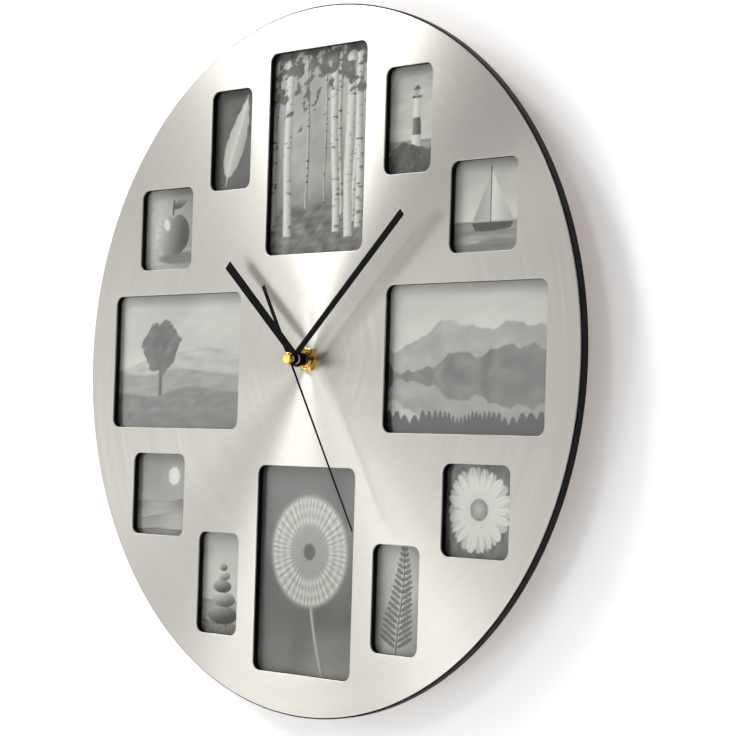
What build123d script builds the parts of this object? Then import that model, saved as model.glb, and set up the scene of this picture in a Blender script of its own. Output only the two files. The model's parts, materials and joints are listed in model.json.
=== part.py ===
from build123d import *

import math
import os

# A round wall clock whose twelve hour marks are twelve framed photographs.
# Every depth is measured from the wall, towards the person who reads the clock.
# The dial looks along -Y, +Z is up, and the origin is on the wall, behind the dial's centre.
# All lengths are in millimetres and all clock angles run clockwise from twelve, in degrees.

# Photograph windows, as openings in the dial
large_window_short = 70.0
large_window_long = 102.0
tall_window_width = 31.0
tall_window_height = 51.5
square_window_width = 42.0
square_window_height = 42.7
window_corner_radius = 4.5
window_gap = 13.5
hub_to_large_window = 52.5
tall_window_rise = 9.95

# Dial plate, frame board and rear panel
dial_plate_thickness = 0.8
dial_edge_chamfer = 0.35
board_lip_thickness = 2.4
photo_overlap = 2.0
photo_side_gap = 0.3
pocket_to_rebate = 1.0
board_rim_width = 7.9
rebate_depth = 0.6
rear_panel_thickness = 1.5
rear_panel_edge_gap = 0.3
rear_panel_corner_radius = 6.0
window_pane_thickness = 0.8
photo_print_thickness = 0.2

# Turn buttons that hold the rear panel, and their screws
turn_button_count = 6
turn_button_width = 6.0
turn_button_reach = 13.0
turn_button_thickness = 0.8
turn_button_corner = 1.5
turn_button_boss_radius = 2.2
button_screw_radius = 1.3
button_screw_depth = 2.6
button_screw_head_radius = 2.5
button_screw_head_height = 1.3
button_screw_slot_width = 0.6
button_screw_slot_depth = 0.5
button_running_gap = 0.08
button_lift = 0.05

# Movement case, which is also what the clock hangs by
case_wall = 1.2
case_depth = 16.0
case_corner_radius = 3.0
wheel_room_below = 10.8
wheel_room_above = 26.8
cover_side_gap = 0.15
pillar_radius = 1.8
pillar_wall_gap = 0.8
hanger_hole_radius = 3.5
hanger_band = 2.8
hanger_foot = 1.2
hanger_thickness = 2.6
case_to_panel_gap = 2.0

# Battery, of the common R6 size, and its contacts
battery_radius = 7.1
battery_length = 50.5
battery_nub_radius = 2.75
battery_nub_length = 1.2
battery_cap_radius = 6.4
battery_cap_step = 0.4
battery_side_gap = 0.3
contact_space = 1.55
contact_thickness = 0.4
contact_width = 9.0
contact_bump_radius = 2.2
contact_strip_width = 2.4
contact_tab_length = 2.4
contact_slot_gap = 0.1

# Threaded bush, its nut and the hole they close
bush_radius = 4.0
bush_flange_radius = 5.0
bush_flange_thickness = 0.6
bush_above_dial = 4.0
bush_hole_gap = 0.2
nut_across_flats = 11.0
nut_thickness = 2.4
nut_chamfer = 0.5

# Pipes and arbors
running_gap = 0.08
end_gap = 0.2
second_shaft_radius = 0.5
minute_pipe_radius = 1.55
hour_pipe_radius = 2.5
arbor_radius = 0.5
pivot_radius = 0.35
pivot_depth = 0.6
motion_post_radius = 0.6

# Hand planes, measured from the dial's face, as the photograph shows them
hour_hand_rise = 8.0
minute_hand_rise = 11.0
second_hand_rise = 13.0

# Hands
hour_hand_length = 72.4
hour_hand_tip_width = 4.8
hour_hand_root_width = 4.2
hour_hand_hub_radius = 4.0
hour_hand_angle = 311.6
minute_hand_length = 99.6
minute_hand_tip_width = 3.7
minute_hand_root_width = 3.2
minute_hand_hub_radius = 3.2
minute_hand_angle = 46.9
second_hand_length = 94.7
second_hand_tail = 41.7
second_hand_tip_width = 0.8
second_hand_root_width = 1.2
second_hand_tail_width = 2.2
second_hand_hub_radius = 2.0
second_hand_angle = 149.8
hand_thickness = 0.5
second_hand_thickness = 0.4
hour_collet_radius = 3.2
hour_collet_length = 3.2
minute_collet_radius = 2.4
minute_collet_length = 1.7
pipe_above_hand = 0.4
second_neck_radius = 1.3
second_neck_length = 0.8
second_cap_radius = 3.0
second_cap_height = 2.0
second_cap_chamfer = 0.6

# Wheel train, from the stepping rotor to the hour wheel
rotor_pinion_teeth = 6
intermediate_wheel_teeth = 36
intermediate_pinion_teeth = 6
second_wheel_teeth = 30
second_pinion_teeth = 6
third_wheel_teeth = 48
third_pinion_teeth = 6
minute_wheel_teeth = 45
cannon_pinion_teeth = 8
motion_wheel_teeth = 24
motion_pinion_teeth = 6
hour_wheel_teeth = 24
knob_pinion_teeth = 12
rotor_distance = 7.0
intermediate_distance = 9.0
third_distance = 10.8
motion_distance = 8.0
rotor_direction = 20.0
intermediate_direction = 60.0
third_direction = 135.0
motion_direction = -26.0
knob_direction = 8.0
pressure_angle = 25.0
addendum_share = 0.7
dedendum_share = 0.95
flank_gap_share = 0.05

# Levels of the train, as layers counted from the front wall inwards
hour_wheel_thickness = 1.0
cannon_pinion_height = 1.3
minute_wheel_thickness = 1.0
middle_plate_thickness = 0.8
second_pinion_height = 1.4
second_wheel_thickness = 0.9
intermediate_wheel_thickness = 0.8
third_wheel_thickness = 0.9
layer_gap = 0.2
wheel_to_pinion_step = 0.6

# Motor, coil and circuit
rotor_magnet_radius = 2.5
rotor_magnet_height = 2.0
stator_gap = 0.5
stator_thickness = 1.0
stator_band = 3.6
stator_ring_band = 2.6
stator_side_gap = 2.9
stator_slot_width = 0.6
coil_radius = 3.4
coil_flange_radius = 3.9
coil_flange_thickness = 0.7
circuit_board_thickness = 1.0
circuit_board_height = 6.8
circuit_board_gap = 0.6
crystal_radius = 1.0
crystal_length = 6.0
crystal_cradle_height = 0.5
crystal_cradle_length = 4.0
chip_radius = 2.2
chip_height = 0.9

# Setting knob at the back
knob_room_share = 0.56
knob_height = 1.8
knob_grip_count = 12
knob_grip_depth = 0.5
knob_hole_gap = 0.4
knob_recess = 0.3
knob_shaft_radius = 1.2
knob_marker_width = 1.4
knob_marker_depth = 0.5

# Flats that stand for a round on pins, posts and screws, on pipes and their bores, and on inner corners
pin_sides = 8
pipe_sides = 20
corner_chords = 3

# Overrun that lets every cut pass clean through what it cuts
cut_over = 1.0

# Places that follow from the sizes above
print_pocket_depth = window_pane_thickness + photo_print_thickness
board_floor = case_depth
panel_back = board_floor - rear_panel_thickness
board_back = board_floor - rebate_depth
pocket_floor = board_floor + print_pocket_depth
board_front = pocket_floor + board_lip_thickness
dial_face = board_front + dial_plate_thickness
large_centre = hub_to_large_window + large_window_long / 2
tall_centre_x = large_window_short / 2 + window_gap + tall_window_width / 2
tall_centre_z = large_centre + tall_window_rise
square_centre_x = tall_centre_x + tall_window_width / 2 + window_gap + square_window_width / 2
square_centre_z = large_window_short / 2 + window_gap + square_window_height / 2
pocket_margin = photo_overlap + photo_side_gap


def windows():
    """The twelve windows, as hour: (x, z, width, height)."""
    found = {
        12: (0, large_centre, large_window_short, large_window_long),
        3: (large_centre, 0, large_window_long, large_window_short),
        6: (0, -large_centre, large_window_short, large_window_long),
        9: (-large_centre, 0, large_window_long, large_window_short),
    }
    tall = (tall_window_width, tall_window_height)
    for hour, side, rise in ((1, 1, 1), (5, 1, -1), (7, -1, -1), (11, -1, 1)):
        found[hour] = (side * tall_centre_x, rise * tall_centre_z, *tall)
    square = (square_window_width, square_window_height)
    for hour, side, rise in ((2, 1, 1), (4, 1, -1), (8, -1, -1), (10, -1, 1)):
        found[hour] = (side * square_centre_x, rise * square_centre_z, *square)
    return dict(sorted(found.items()))


def pocket_reach():
    """How far the outermost corner of any photograph pocket lies from the dial's centre."""
    return max(
        math.hypot(abs(x) + width / 2 + pocket_margin, abs(z) + height / 2 + pocket_margin)
        for x, z, width, height in windows().values()
    )


rebate_radius = pocket_reach() + pocket_to_rebate
dial_radius = rebate_radius + board_rim_width
button_ring_radius = dial_radius - board_rim_width / 2

room_half_width = battery_length / 2 + contact_space
case_half_width = room_half_width + case_wall
case_top = wheel_room_above + case_wall
bay_top = -wheel_room_below - case_wall
battery_centre_z = bay_top - battery_side_gap - battery_radius
bay_bottom = battery_centre_z - battery_radius - battery_side_gap
case_bottom = bay_bottom - case_wall
case_inner_front = case_depth - case_wall
battery_centre_depth = case_inner_front - battery_side_gap - battery_radius

# Depth of each layer of the train: (back, front)
hour_wheel_front = case_inner_front - bush_flange_thickness - layer_gap
hour_wheel_back = hour_wheel_front - hour_wheel_thickness
cannon_pinion_front = hour_wheel_back - layer_gap
cannon_pinion_back = cannon_pinion_front - cannon_pinion_height
minute_wheel_front = cannon_pinion_back
minute_wheel_back = minute_wheel_front - minute_wheel_thickness
middle_plate_front = minute_wheel_back - layer_gap
middle_plate_back = middle_plate_front - middle_plate_thickness
second_pinion_front = middle_plate_back - layer_gap
second_pinion_back = second_pinion_front - second_pinion_height
second_wheel_front = second_pinion_back
second_wheel_back = second_wheel_front - second_wheel_thickness
intermediate_wheel_front = second_wheel_back - wheel_to_pinion_step
intermediate_wheel_back = intermediate_wheel_front - intermediate_wheel_thickness
third_wheel_back = second_pinion_back + layer_gap
third_wheel_front = third_wheel_back + third_wheel_thickness
motion_wheel_back = cannon_pinion_back + layer_gap
motion_wheel_front = cannon_pinion_front - layer_gap
stator_front = middle_plate_back
stator_back = stator_front - stator_thickness

hour_hand_plane = dial_face + hour_hand_rise
minute_hand_plane = dial_face + minute_hand_rise
second_hand_plane = dial_face + second_hand_rise
hour_pipe_end = hour_hand_plane + hand_thickness / 2 + pipe_above_hand
minute_pipe_end = minute_hand_plane + hand_thickness / 2 + pipe_above_hand
bush_front = dial_face + bush_above_dial


def polar(distance, direction, start=(0, 0)):
    """A point at a distance and a direction, in degrees anticlockwise from +X, from a start."""
    turn = math.radians(direction)
    return (start[0] + distance * math.cos(turn), start[1] + distance * math.sin(turn))


intermediate_place = polar(intermediate_distance, intermediate_direction)
rotor_place = polar(rotor_distance, rotor_direction, intermediate_place)
third_place = polar(third_distance, third_direction)
motion_place = polar(motion_distance, motion_direction)
motion_module = 2 * motion_distance / (cannon_pinion_teeth + motion_wheel_teeth)
knob_distance = motion_module * (knob_pinion_teeth + motion_wheel_teeth) / 2
knob_place = polar(knob_distance, knob_direction, motion_place)
knob_radius = knob_room_share * (room_half_width - knob_place[0])


def slab(sketch, back, front):
    """A sketch drawn in the dial's plane, given thickness between two depths."""
    return extrude(Plane.XZ.offset(back) * sketch, amount=front - back)


def disc(radius, back, front, place=(0, 0), sides=0):
    """A round disc or shaft square to the dial. With sides, its corners lie on the circle."""
    outline = RegularPolygon(radius, sides) if sides else Circle(radius)
    return slab(Pos(*place) * outline, back, front)


def bore(radius, back, front, place=(0, 0), sides=pin_sides):
    """The cut for a shaft that turns in it. The flats lie on the circle, so nothing reaches inside it."""
    return slab(Pos(*place) * bore_outline(radius, sides), back, front)


def bore_outline(radius, sides=pin_sides):
    """A bore's section, its flats on the circle."""
    return RegularPolygon(radius, sides, major_radius=False)


def block(width, height, back, front, place=(0, 0)):
    """A rectangular block square to the dial."""
    return slab(Pos(*place) * Rectangle(width, height), back, front)


def clockwise(shape, angle, place=(0, 0)):
    """The shape turned clockwise about a line square to the dial, as its reader sees it."""
    return shape.rotate(Axis((place[0], 0, place[1]), (0, 1, 0)), angle)


def rounded(width, height, radius):
    """A rectangle whose corners are rounded in short chords."""
    points = []
    for turn, (side, rise) in enumerate(((1, 1), (-1, 1), (-1, -1), (1, -1))):
        centre = (side * (width / 2 - radius), rise * (height / 2 - radius))
        for chord in range(corner_chords + 1):
            points.append(polar(radius, 90 * (turn + chord / corner_chords), centre))
    return make_face(Polyline(*points, close=True))


def pair_module(distance, first_teeth, second_teeth):
    """The module that makes two gears mesh at a distance."""
    return 2 * distance / (first_teeth + second_teeth)


def mesh_phase(teeth, phase, direction, mate_teeth):
    """Where the mate, lying in that direction, has a tooth, so that it fills a gap of the first gear."""
    offset = (direction - phase) * teeth / 360
    return direction + 180 - (0.5 - offset) * 360 / mate_teeth


def involute(angle):
    """The involute function of a pressure angle in radians."""
    return math.tan(angle) - angle


def gear(teeth, module, phase=0.0):
    """A gear's outline. Each flank is one chord, from the tooth's foot to its involute's end at the tip."""
    pitch = module * teeth / 2
    base = pitch * math.cos(math.radians(pressure_angle))
    tip = pitch + addendum_share * module
    root = pitch - dedendum_share * module
    middle = math.pi / (2 * teeth) + involute(math.radians(pressure_angle)) - 2 * flank_gap_share / teeth

    def half_angle(radius):
        return middle - involute(math.acos(min(1.0, base / radius)))

    flank = [(root, half_angle(max(root, base))), (tip, half_angle(tip))]
    points = []
    for tooth in range(teeth):
        centre = math.radians(phase) + tooth * 2 * math.pi / teeth
        for radius, half in flank:
            points.append((radius * math.cos(centre - half), radius * math.sin(centre - half)))
        for radius, half in reversed(flank):
            points.append((radius * math.cos(centre + half), radius * math.sin(centre + half)))
    return make_face(Polyline(*points, close=True))


def gear_slab(teeth, module, back, front, place=(0, 0), phase=0.0):
    """A gear between two depths."""
    return slab(Pos(*place) * gear(teeth, module, phase), back, front)


def window_sketch(margin=0.0):
    """All twelve windows in one sketch, each side moved out by a margin and the corners kept round."""
    faces = []
    for x, z, width, height in windows().values():
        if margin:
            outline = Rectangle(width + 2 * margin, height + 2 * margin)
        else:
            outline = rounded(width, height, window_corner_radius)
        faces.append(Pos(x, z) * outline)
    return Sketch() + faces


# Train phases, so that every pair is in mesh at rest
second_module = pair_module(intermediate_distance, intermediate_pinion_teeth, second_wheel_teeth)
rotor_module = pair_module(rotor_distance, rotor_pinion_teeth, intermediate_wheel_teeth)
third_module = pair_module(third_distance, second_pinion_teeth, third_wheel_teeth)
minute_module = pair_module(third_distance, third_pinion_teeth, minute_wheel_teeth)
hour_module = pair_module(motion_distance, motion_pinion_teeth, hour_wheel_teeth)
intermediate_phase = mesh_phase(second_wheel_teeth, 0, intermediate_direction, intermediate_pinion_teeth)
rotor_phase = mesh_phase(intermediate_wheel_teeth, 0, rotor_direction, rotor_pinion_teeth)
third_phase = mesh_phase(second_pinion_teeth, 0, third_direction, third_wheel_teeth)
minute_phase = mesh_phase(third_pinion_teeth, 0, third_direction + 180, minute_wheel_teeth)
motion_phase = mesh_phase(cannon_pinion_teeth, 0, motion_direction, motion_wheel_teeth)
hour_phase = mesh_phase(motion_pinion_teeth, 0, motion_direction + 180, hour_wheel_teeth)
knob_phase = mesh_phase(motion_wheel_teeth, motion_phase, knob_direction, knob_pinion_teeth)


def dial_plate():
    """The brushed metal face, with its windows, its centre hole and a softened outer edge."""
    centre_hole = bore_outline(bush_radius + bush_hole_gap, pipe_sides)
    face = Circle(dial_radius) - window_sketch() - centre_hole
    plate = slab(face, board_front, dial_face)
    rim = plate.edges().filter_by(GeomType.CIRCLE).sort_by(SortBy.RADIUS)[-2:].sort_by(Axis.Y)[0]
    return chamfer(rim, dial_edge_chamfer)


def frame_board():
    """The black board behind the face: lipped windows, photograph pockets and the rear panel's rebate."""
    board = disc(dial_radius, board_back, board_front)
    board -= disc(rebate_radius, board_back - cut_over, board_floor)
    board -= slab(window_sketch(pocket_margin), board_floor - cut_over, pocket_floor)
    board -= slab(window_sketch(), pocket_floor - cut_over, board_front + cut_over)
    centre_hole = bore_outline(bush_radius + bush_hole_gap, pipe_sides)
    board -= slab(centre_hole, board_floor - cut_over, board_front + cut_over)
    hole_end = board_back + button_screw_depth
    for place in button_places():
        board -= disc(button_screw_radius, board_back - cut_over, hole_end, place, pin_sides)
    return board


def rear_panel():
    """The thin hardboard disc that closes every photograph pocket and clears the movement and its hanger."""
    hole_bottom = case_bottom - case_to_panel_gap
    hole_top = hanger_top() + case_to_panel_gap
    hole_width = 2 * (case_half_width + case_to_panel_gap)
    hole = rounded(hole_width, hole_top - hole_bottom, rear_panel_corner_radius)
    outline = Circle(rebate_radius - rear_panel_edge_gap) - Pos(0, (hole_top + hole_bottom) / 2) * hole
    return slab(outline, panel_back, board_floor)


def photo_sheet(x, z, width, height, back, front):
    """A cut sheet as large as a window and its overlap."""
    return block(width + 2 * photo_overlap, height + 2 * photo_overlap, back, front, (x, z))


def button_places():
    """Where the turn buttons' screws stand, on the board's rim."""
    step = 360 / turn_button_count
    return [polar(button_ring_radius, 90 - index * step) for index in range(turn_button_count)]


def turn_button(index):
    """One turn button in its locked place, reaching in over the rear panel, and the boss it turns on."""
    top = (0, button_ring_radius)
    outline = Pos(0, -turn_button_reach / 2) * Rectangle(turn_button_width, turn_button_reach)
    outline = chamfer(outline.vertices().sort_by(Axis.Y)[:2], turn_button_corner)
    outline = Pos(*top) * (outline + Circle(turn_button_width / 2))
    front = panel_back - button_lift
    button = slab(outline, front - turn_button_thickness, front)
    button += disc(turn_button_boss_radius, front, board_back - button_lift, top, pin_sides)
    hole_radius = button_screw_radius + button_running_gap
    button -= bore(hole_radius, front - turn_button_thickness - cut_over, board_back, top)
    return clockwise(button, index * 360 / turn_button_count)


def button_screw(place):
    """A slotted pan-head screw that a turn button pivots on."""
    head_front = panel_back - 2 * button_lift - turn_button_thickness
    head_back = head_front - button_screw_head_height
    screw = disc(button_screw_radius, head_front, board_back + button_screw_depth, place, pin_sides)
    screw += disc(button_screw_head_radius, head_back, head_front, place, pin_sides)
    slot_length = 2 * button_screw_head_radius + cut_over
    slot_floor = head_back + button_screw_slot_depth
    return screw - block(slot_length, button_screw_slot_width, head_back - cut_over, slot_floor, place)


def pillar_places():
    """Where the cover, the middle plate and the case's posts stand on each other."""
    inset = pillar_wall_gap + pillar_radius
    low = -wheel_room_below + inset
    high = wheel_room_above - inset
    circuit_edge = wheel_room_above - circuit_board_gap - circuit_board_height
    return [
        (-room_half_width + inset, low),
        (room_half_width - inset, low),
        (-room_half_width + inset, circuit_edge - inset),
        (stator_left() - inset, high),
    ]


def movement_case():
    """The moulded case: wheel room, battery bay, hanger, posts and bearings for the train."""
    middle = (case_top + case_bottom) / 2
    outline = rounded(2 * case_half_width, case_top - case_bottom, case_corner_radius)
    case = slab(Pos(0, middle) * outline, 0, case_depth) + hanger()
    room_middle = (wheel_room_above - wheel_room_below) / 2
    room_height = wheel_room_above + wheel_room_below
    case -= block(2 * room_half_width, room_height, -cut_over, case_inner_front, (0, room_middle))
    bay_middle = (bay_top + bay_bottom) / 2
    case -= block(2 * room_half_width, bay_top - bay_bottom, -cut_over, case_inner_front, (0, bay_middle))
    for place in pillar_places():
        case += disc(pillar_radius, middle_plate_front, case_inner_front, place, pin_sides)
    case += disc(motion_post_radius, motion_wheel_back, case_inner_front, motion_place)
    for side in (-1, 1):
        case -= contact_slot(side)
    case -= disc(bush_radius, case_inner_front - cut_over, case_depth + cut_over, sides=pipe_sides)
    for place in (third_place, knob_place):
        case -= pivot_hole(case_inner_front - cut_over, case_inner_front + pivot_depth, place)
    return case


def pivot_hole(back, front, place):
    """The cut for one bearing of a fine pivot."""
    return bore(pivot_radius + running_gap, back, front, place)


def hanger_top():
    """The highest point of the hanger's loop."""
    return case_top + hanger_foot + 2 * hanger_hole_radius + hanger_band


def hanger():
    """The loop on top of the case that hangs on a nail or a hook."""
    outer = hanger_hole_radius + hanger_band
    centre = hanger_top() - outer
    foot = Pos(0, (centre + case_top - case_wall) / 2) * Rectangle(2 * outer, centre - case_top + case_wall)
    loop = slab(Pos(0, centre) * RegularPolygon(outer, pipe_sides) + foot, 0, hanger_thickness)
    return loop - disc(hanger_hole_radius, -cut_over, hanger_thickness + cut_over, (0, centre))


def movement_cover():
    """The flat rear cover with the pillars that clamp the middle plate, and the pivot holes."""
    width = 2 * (room_half_width - cover_side_gap)
    height = wheel_room_above + wheel_room_below - 2 * cover_side_gap
    cover = block(width, height, 0, case_wall, (0, (wheel_room_above - wheel_room_below) / 2))
    for place in pillar_places():
        cover += disc(pillar_radius, case_wall, middle_plate_back, place, pin_sides)
    cover -= bore(knob_radius + knob_hole_gap, -cut_over, case_wall + cut_over, knob_place, pipe_sides)
    for place in ((0, 0), third_place, intermediate_place, rotor_place):
        cover -= pivot_hole(case_wall - pivot_depth, case_wall + cut_over, place)
    return cover


def middle_plate():
    """The plate between the two halves of the train, cut away for the coil and the third pinion."""
    width = 2 * (room_half_width - cover_side_gap)
    height = wheel_room_above + wheel_room_below - 2 * cover_side_gap
    outline = Pos(0, (wheel_room_above - wheel_room_below) / 2) * Rectangle(width, height)
    third_hole = minute_module * (third_pinion_teeth / 2 + addendum_share) + layer_gap
    for place, radius in (
        ((0, 0), second_shaft_radius + running_gap),
        (intermediate_place, pivot_radius + running_gap),
        (rotor_place, pivot_radius + running_gap),
        (knob_place, knob_shaft_radius + running_gap),
        (third_place, third_hole),
    ):
        outline -= Pos(*place) * bore_outline(radius)
    left, right, low, high = coil_room()
    outline -= Pos((left + right) / 2, (low + high) / 2) * Rectangle(right - left, high - low)
    return slab(outline, middle_plate_back, middle_plate_front)


def stator_left():
    """The left edge of the stator, just clear of the intermediate arbor."""
    return intermediate_place[0] + arbor_radius + stator_ring_band / 2


def stator_right():
    """The right edge of the stator, which keeps its distance from the case's side."""
    return room_half_width - stator_side_gap


def stator_top():
    """The top edge of the stator, which leaves room for the coil under the case's top wall."""
    return wheel_room_above - coil_flange_radius + stator_band / 2 - circuit_board_gap


def coil_room():
    """The part of the middle plate cut away round the coil: (left, right, low, high)."""
    left = stator_left() + stator_band + layer_gap
    right = stator_right() - stator_band - layer_gap
    axis = stator_top() - stator_band / 2
    return left, right, axis - coil_flange_radius - layer_gap, wheel_room_above


def stator():
    """The soft iron yoke: a ring round the rotor, split by two slots, and the bar that carries the coil."""
    left = stator_left()
    width = stator_right() - left
    bottom = rotor_place[1] - rotor_magnet_radius - stator_gap - stator_ring_band
    top = stator_top()
    window_low = rotor_place[1] + rotor_magnet_radius + stator_gap + stator_ring_band / 2
    window_high = top - stator_band
    outline = Pos(left + width / 2, (top + bottom) / 2) * Rectangle(width, top - bottom)
    outline -= Pos(left + width / 2, (window_low + window_high) / 2) * Rectangle(
        width - 2 * stator_band, window_high - window_low
    )
    outline -= Pos(*rotor_place) * bore_outline(rotor_magnet_radius + stator_gap, pipe_sides)
    slot_low = bottom - cut_over
    slot_high = (window_low + window_high) / 2
    slot = Rectangle(stator_slot_width, slot_high - slot_low)
    outline -= Pos(rotor_place[0], (slot_low + slot_high) / 2) * slot
    return slab(outline, stator_back, stator_front)


def coil():
    """The bobbin and its winding, round the stator's bar."""
    left, right, low, high = coil_room()
    axis_z = stator_top() - stator_band / 2
    axis_depth = (stator_back + stator_front) / 2
    length = right - left - 2 * layer_gap
    spot = Plane(((left + right) / 2, -axis_depth, axis_z), x_dir=(0, 1, 0), z_dir=(1, 0, 0))
    winding = extrude(spot * RegularPolygon(coil_radius, pin_sides), amount=length / 2, both=True)
    for side in (-1, 1):
        at = spot.offset(side * (length - coil_flange_thickness) / 2)
        flange = RegularPolygon(coil_flange_radius, pin_sides)
        winding += extrude(at * flange, amount=coil_flange_thickness / 2, both=True)
    return winding - extrude(spot * Rectangle(stator_thickness, stator_band), amount=length, both=True)


def circuit_board_extent():
    """The board's left and right edges and the height of its middle."""
    left = -room_half_width + circuit_board_gap
    right = stator_left() - 2 * pillar_wall_gap - 2 * pillar_radius - circuit_board_gap
    return left, right, wheel_room_above - circuit_board_gap - circuit_board_height / 2


def circuit_board():
    """The circuit board against the middle plate, with its chip and the solder cradle of its crystal."""
    left, right, middle = circuit_board_extent()
    front = middle_plate_back
    back = front - circuit_board_thickness
    board = block(right - left, circuit_board_height, back, front, ((left + right) / 2, middle))
    board += disc(chip_radius, back - chip_height, back, ((left + right) / 2, middle), pin_sides)
    cradle_back = back - crystal_cradle_height
    board += block(crystal_cradle_length, 2 * crystal_radius, cradle_back, back, crystal_place())
    return board - quartz_crystal()


def crystal_place():
    """The middle of the crystal, seen from the front."""
    left, right, middle = circuit_board_extent()
    return ((left + right) / 2 + chip_radius + circuit_board_gap + crystal_length / 2, middle)


def quartz_crystal():
    """The tuning-fork crystal in its little can, lying in its cradle."""
    x, z = crystal_place()
    depth = middle_plate_back - circuit_board_thickness - crystal_radius
    at = Plane((x, -depth, z), x_dir=(0, 1, 0), z_dir=(1, 0, 0))
    section = RegularPolygon(crystal_radius, pin_sides, major_radius=False, rotation=180 / pin_sides)
    return extrude(at * section, amount=crystal_length / 2, both=True)


def battery():
    """A plain R6 cell, its positive nub to the right."""
    foot = (-battery_length / 2, -battery_centre_depth, battery_centre_z)
    spot = Plane(foot, x_dir=(0, 1, 0), z_dir=(1, 0, 0))
    body_length = battery_length - battery_nub_length
    cell = extrude(spot * RegularPolygon(battery_radius, pipe_sides), amount=body_length - battery_cap_step)
    cell += extrude(spot * RegularPolygon(battery_cap_radius, pipe_sides), amount=body_length)
    return cell + extrude(spot * RegularPolygon(battery_nub_radius, pin_sides), amount=battery_length)


def contact_strip_depths():
    """The back and front of both contact strips, which end behind the circuit board."""
    front = middle_plate_back - circuit_board_thickness
    return front - contact_strip_width, front


def contact_slot(side):
    """The notch in the wall between the rooms that lets a contact strip pass."""
    width = contact_thickness + contact_slot_gap
    x = side * (room_half_width - width / 2)
    front = contact_strip_depths()[1] + contact_slot_gap
    return block(width, case_wall + cut_over, -cut_over, front, (x, -wheel_room_below - case_wall / 2))


def battery_contact(side):
    """The contact at one end of the battery: a plate with a bump, and a strip up the side wall."""
    wall = side * room_half_width
    reach = abs(wall) - contact_thickness - battery_length / 2
    spot = Plane((wall, -battery_centre_depth, battery_centre_z), x_dir=(0, 1, 0), z_dir=(-side, 0, 0))
    contact = extrude(spot * Rectangle(contact_width, contact_width), amount=contact_thickness)
    bump = RegularPolygon(contact_bump_radius, pin_sides)
    contact += extrude(spot.offset(contact_thickness) * bump, amount=reach)
    back, front = contact_strip_depths()
    top = wheel_room_above if side > 0 else circuit_board_extent()[2]
    middle = (top + battery_centre_z) / 2
    x = wall - side * contact_thickness / 2
    return contact + block(contact_thickness, top - battery_centre_z, back, front, (x, middle))


def positive_contact():
    """The right-hand contact, which runs on along the top wall to a tab on the circuit board."""
    back, front = contact_strip_depths()
    right = circuit_board_extent()[1]
    end = right - contact_tab_length
    contact = battery_contact(1)
    along = wheel_room_above - contact_thickness / 2
    run = ((room_half_width + end) / 2, along)
    contact += block(room_half_width - end, contact_thickness, back, front, run)
    tab_height = circuit_board_gap + contact_tab_length
    tab = ((right + end) / 2, wheel_room_above - tab_height / 2)
    return contact + block(contact_tab_length, tab_height, front - contact_thickness, front, tab)


def negative_contact():
    """The left-hand contact, which ends in a tab on the circuit board."""
    front = contact_strip_depths()[1]
    length = circuit_board_gap + contact_tab_length
    tab = (length / 2 - room_half_width, circuit_board_extent()[2] - contact_tab_length / 2)
    return battery_contact(-1) + block(length, contact_tab_length, front - contact_thickness, front, tab)


def threaded_bush():
    """The brass bush that the nut draws up: its flange sits inside the case, its thread outside."""
    bush = disc(bush_radius, case_inner_front, bush_front, sides=pipe_sides)
    flange_back = case_inner_front - bush_flange_thickness
    bush += disc(bush_flange_radius, flange_back, case_inner_front, sides=pipe_sides)
    bore_radius = hour_pipe_radius + running_gap
    return bush - bore(bore_radius, flange_back - cut_over, bush_front + cut_over, sides=pipe_sides)


def fixing_nut():
    """The hexagon nut on the dial, its edges bevelled on both sides."""
    nut_front = dial_face + nut_thickness
    nut = slab(RegularPolygon(nut_across_flats / 2, 6, major_radius=False), dial_face, nut_front)
    rims = nut.faces().sort_by(Axis.Y)
    nut = chamfer(rims[0].edges() + rims[-1].edges(), nut_chamfer)
    return nut - disc(bush_radius, dial_face - cut_over, nut_front + cut_over, sides=pipe_sides)


def rotor():
    """The stepping rotor: magnet, pinion and arbor."""
    back = case_wall + end_gap / 2
    front = middle_plate_back - end_gap / 2
    pinion_back = intermediate_wheel_back - layer_gap
    pinion_front = intermediate_wheel_front + layer_gap
    magnet_front = stator_front - end_gap
    part = disc(arbor_radius, back, front, rotor_place, pin_sides)
    magnet_back = magnet_front - rotor_magnet_height
    part += disc(rotor_magnet_radius, magnet_back, magnet_front, rotor_place, pipe_sides)
    part += gear_slab(rotor_pinion_teeth, rotor_module, pinion_back, pinion_front, rotor_place, rotor_phase)
    return part + pivots(rotor_place, back, front, middle_plate_thickness)


def pivots(place, back, front, front_hole_depth):
    """The two fine ends of an arbor, in the holes that carry them."""
    front_reach = min(pivot_depth, front_hole_depth) - end_gap / 2
    rear = disc(pivot_radius, back - pivot_depth + end_gap, back, place, pin_sides)
    return rear + disc(pivot_radius, front, front + front_reach, place)


def intermediate_wheel():
    """The wheel between the rotor and the second wheel."""
    back = case_wall + end_gap / 2
    front = middle_plate_back - end_gap / 2
    place = intermediate_place
    wheel_back = intermediate_wheel_back
    wheel_front = intermediate_wheel_front
    pinion_front = second_wheel_front + layer_gap
    teeth = intermediate_pinion_teeth
    part = disc(arbor_radius, back, front, place, pin_sides)
    part += gear_slab(intermediate_wheel_teeth, rotor_module, wheel_back, wheel_front, place)
    part += gear_slab(teeth, second_module, wheel_front, pinion_front, place, intermediate_phase)
    return part + pivots(place, back, front, middle_plate_thickness)


def second_wheel():
    """The second wheel, its pinion and the long shaft that carries the second hand."""
    back = case_wall + end_gap / 2
    part = disc(second_shaft_radius, back, second_cap_front() - second_cap_height / 2, sides=pin_sides)
    part += gear_slab(second_wheel_teeth, second_module, second_wheel_back, second_wheel_front)
    part += gear_slab(second_pinion_teeth, third_module, second_pinion_back, second_pinion_front)
    return part + disc(pivot_radius, back - pivot_depth + end_gap, back, sides=pin_sides)


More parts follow.
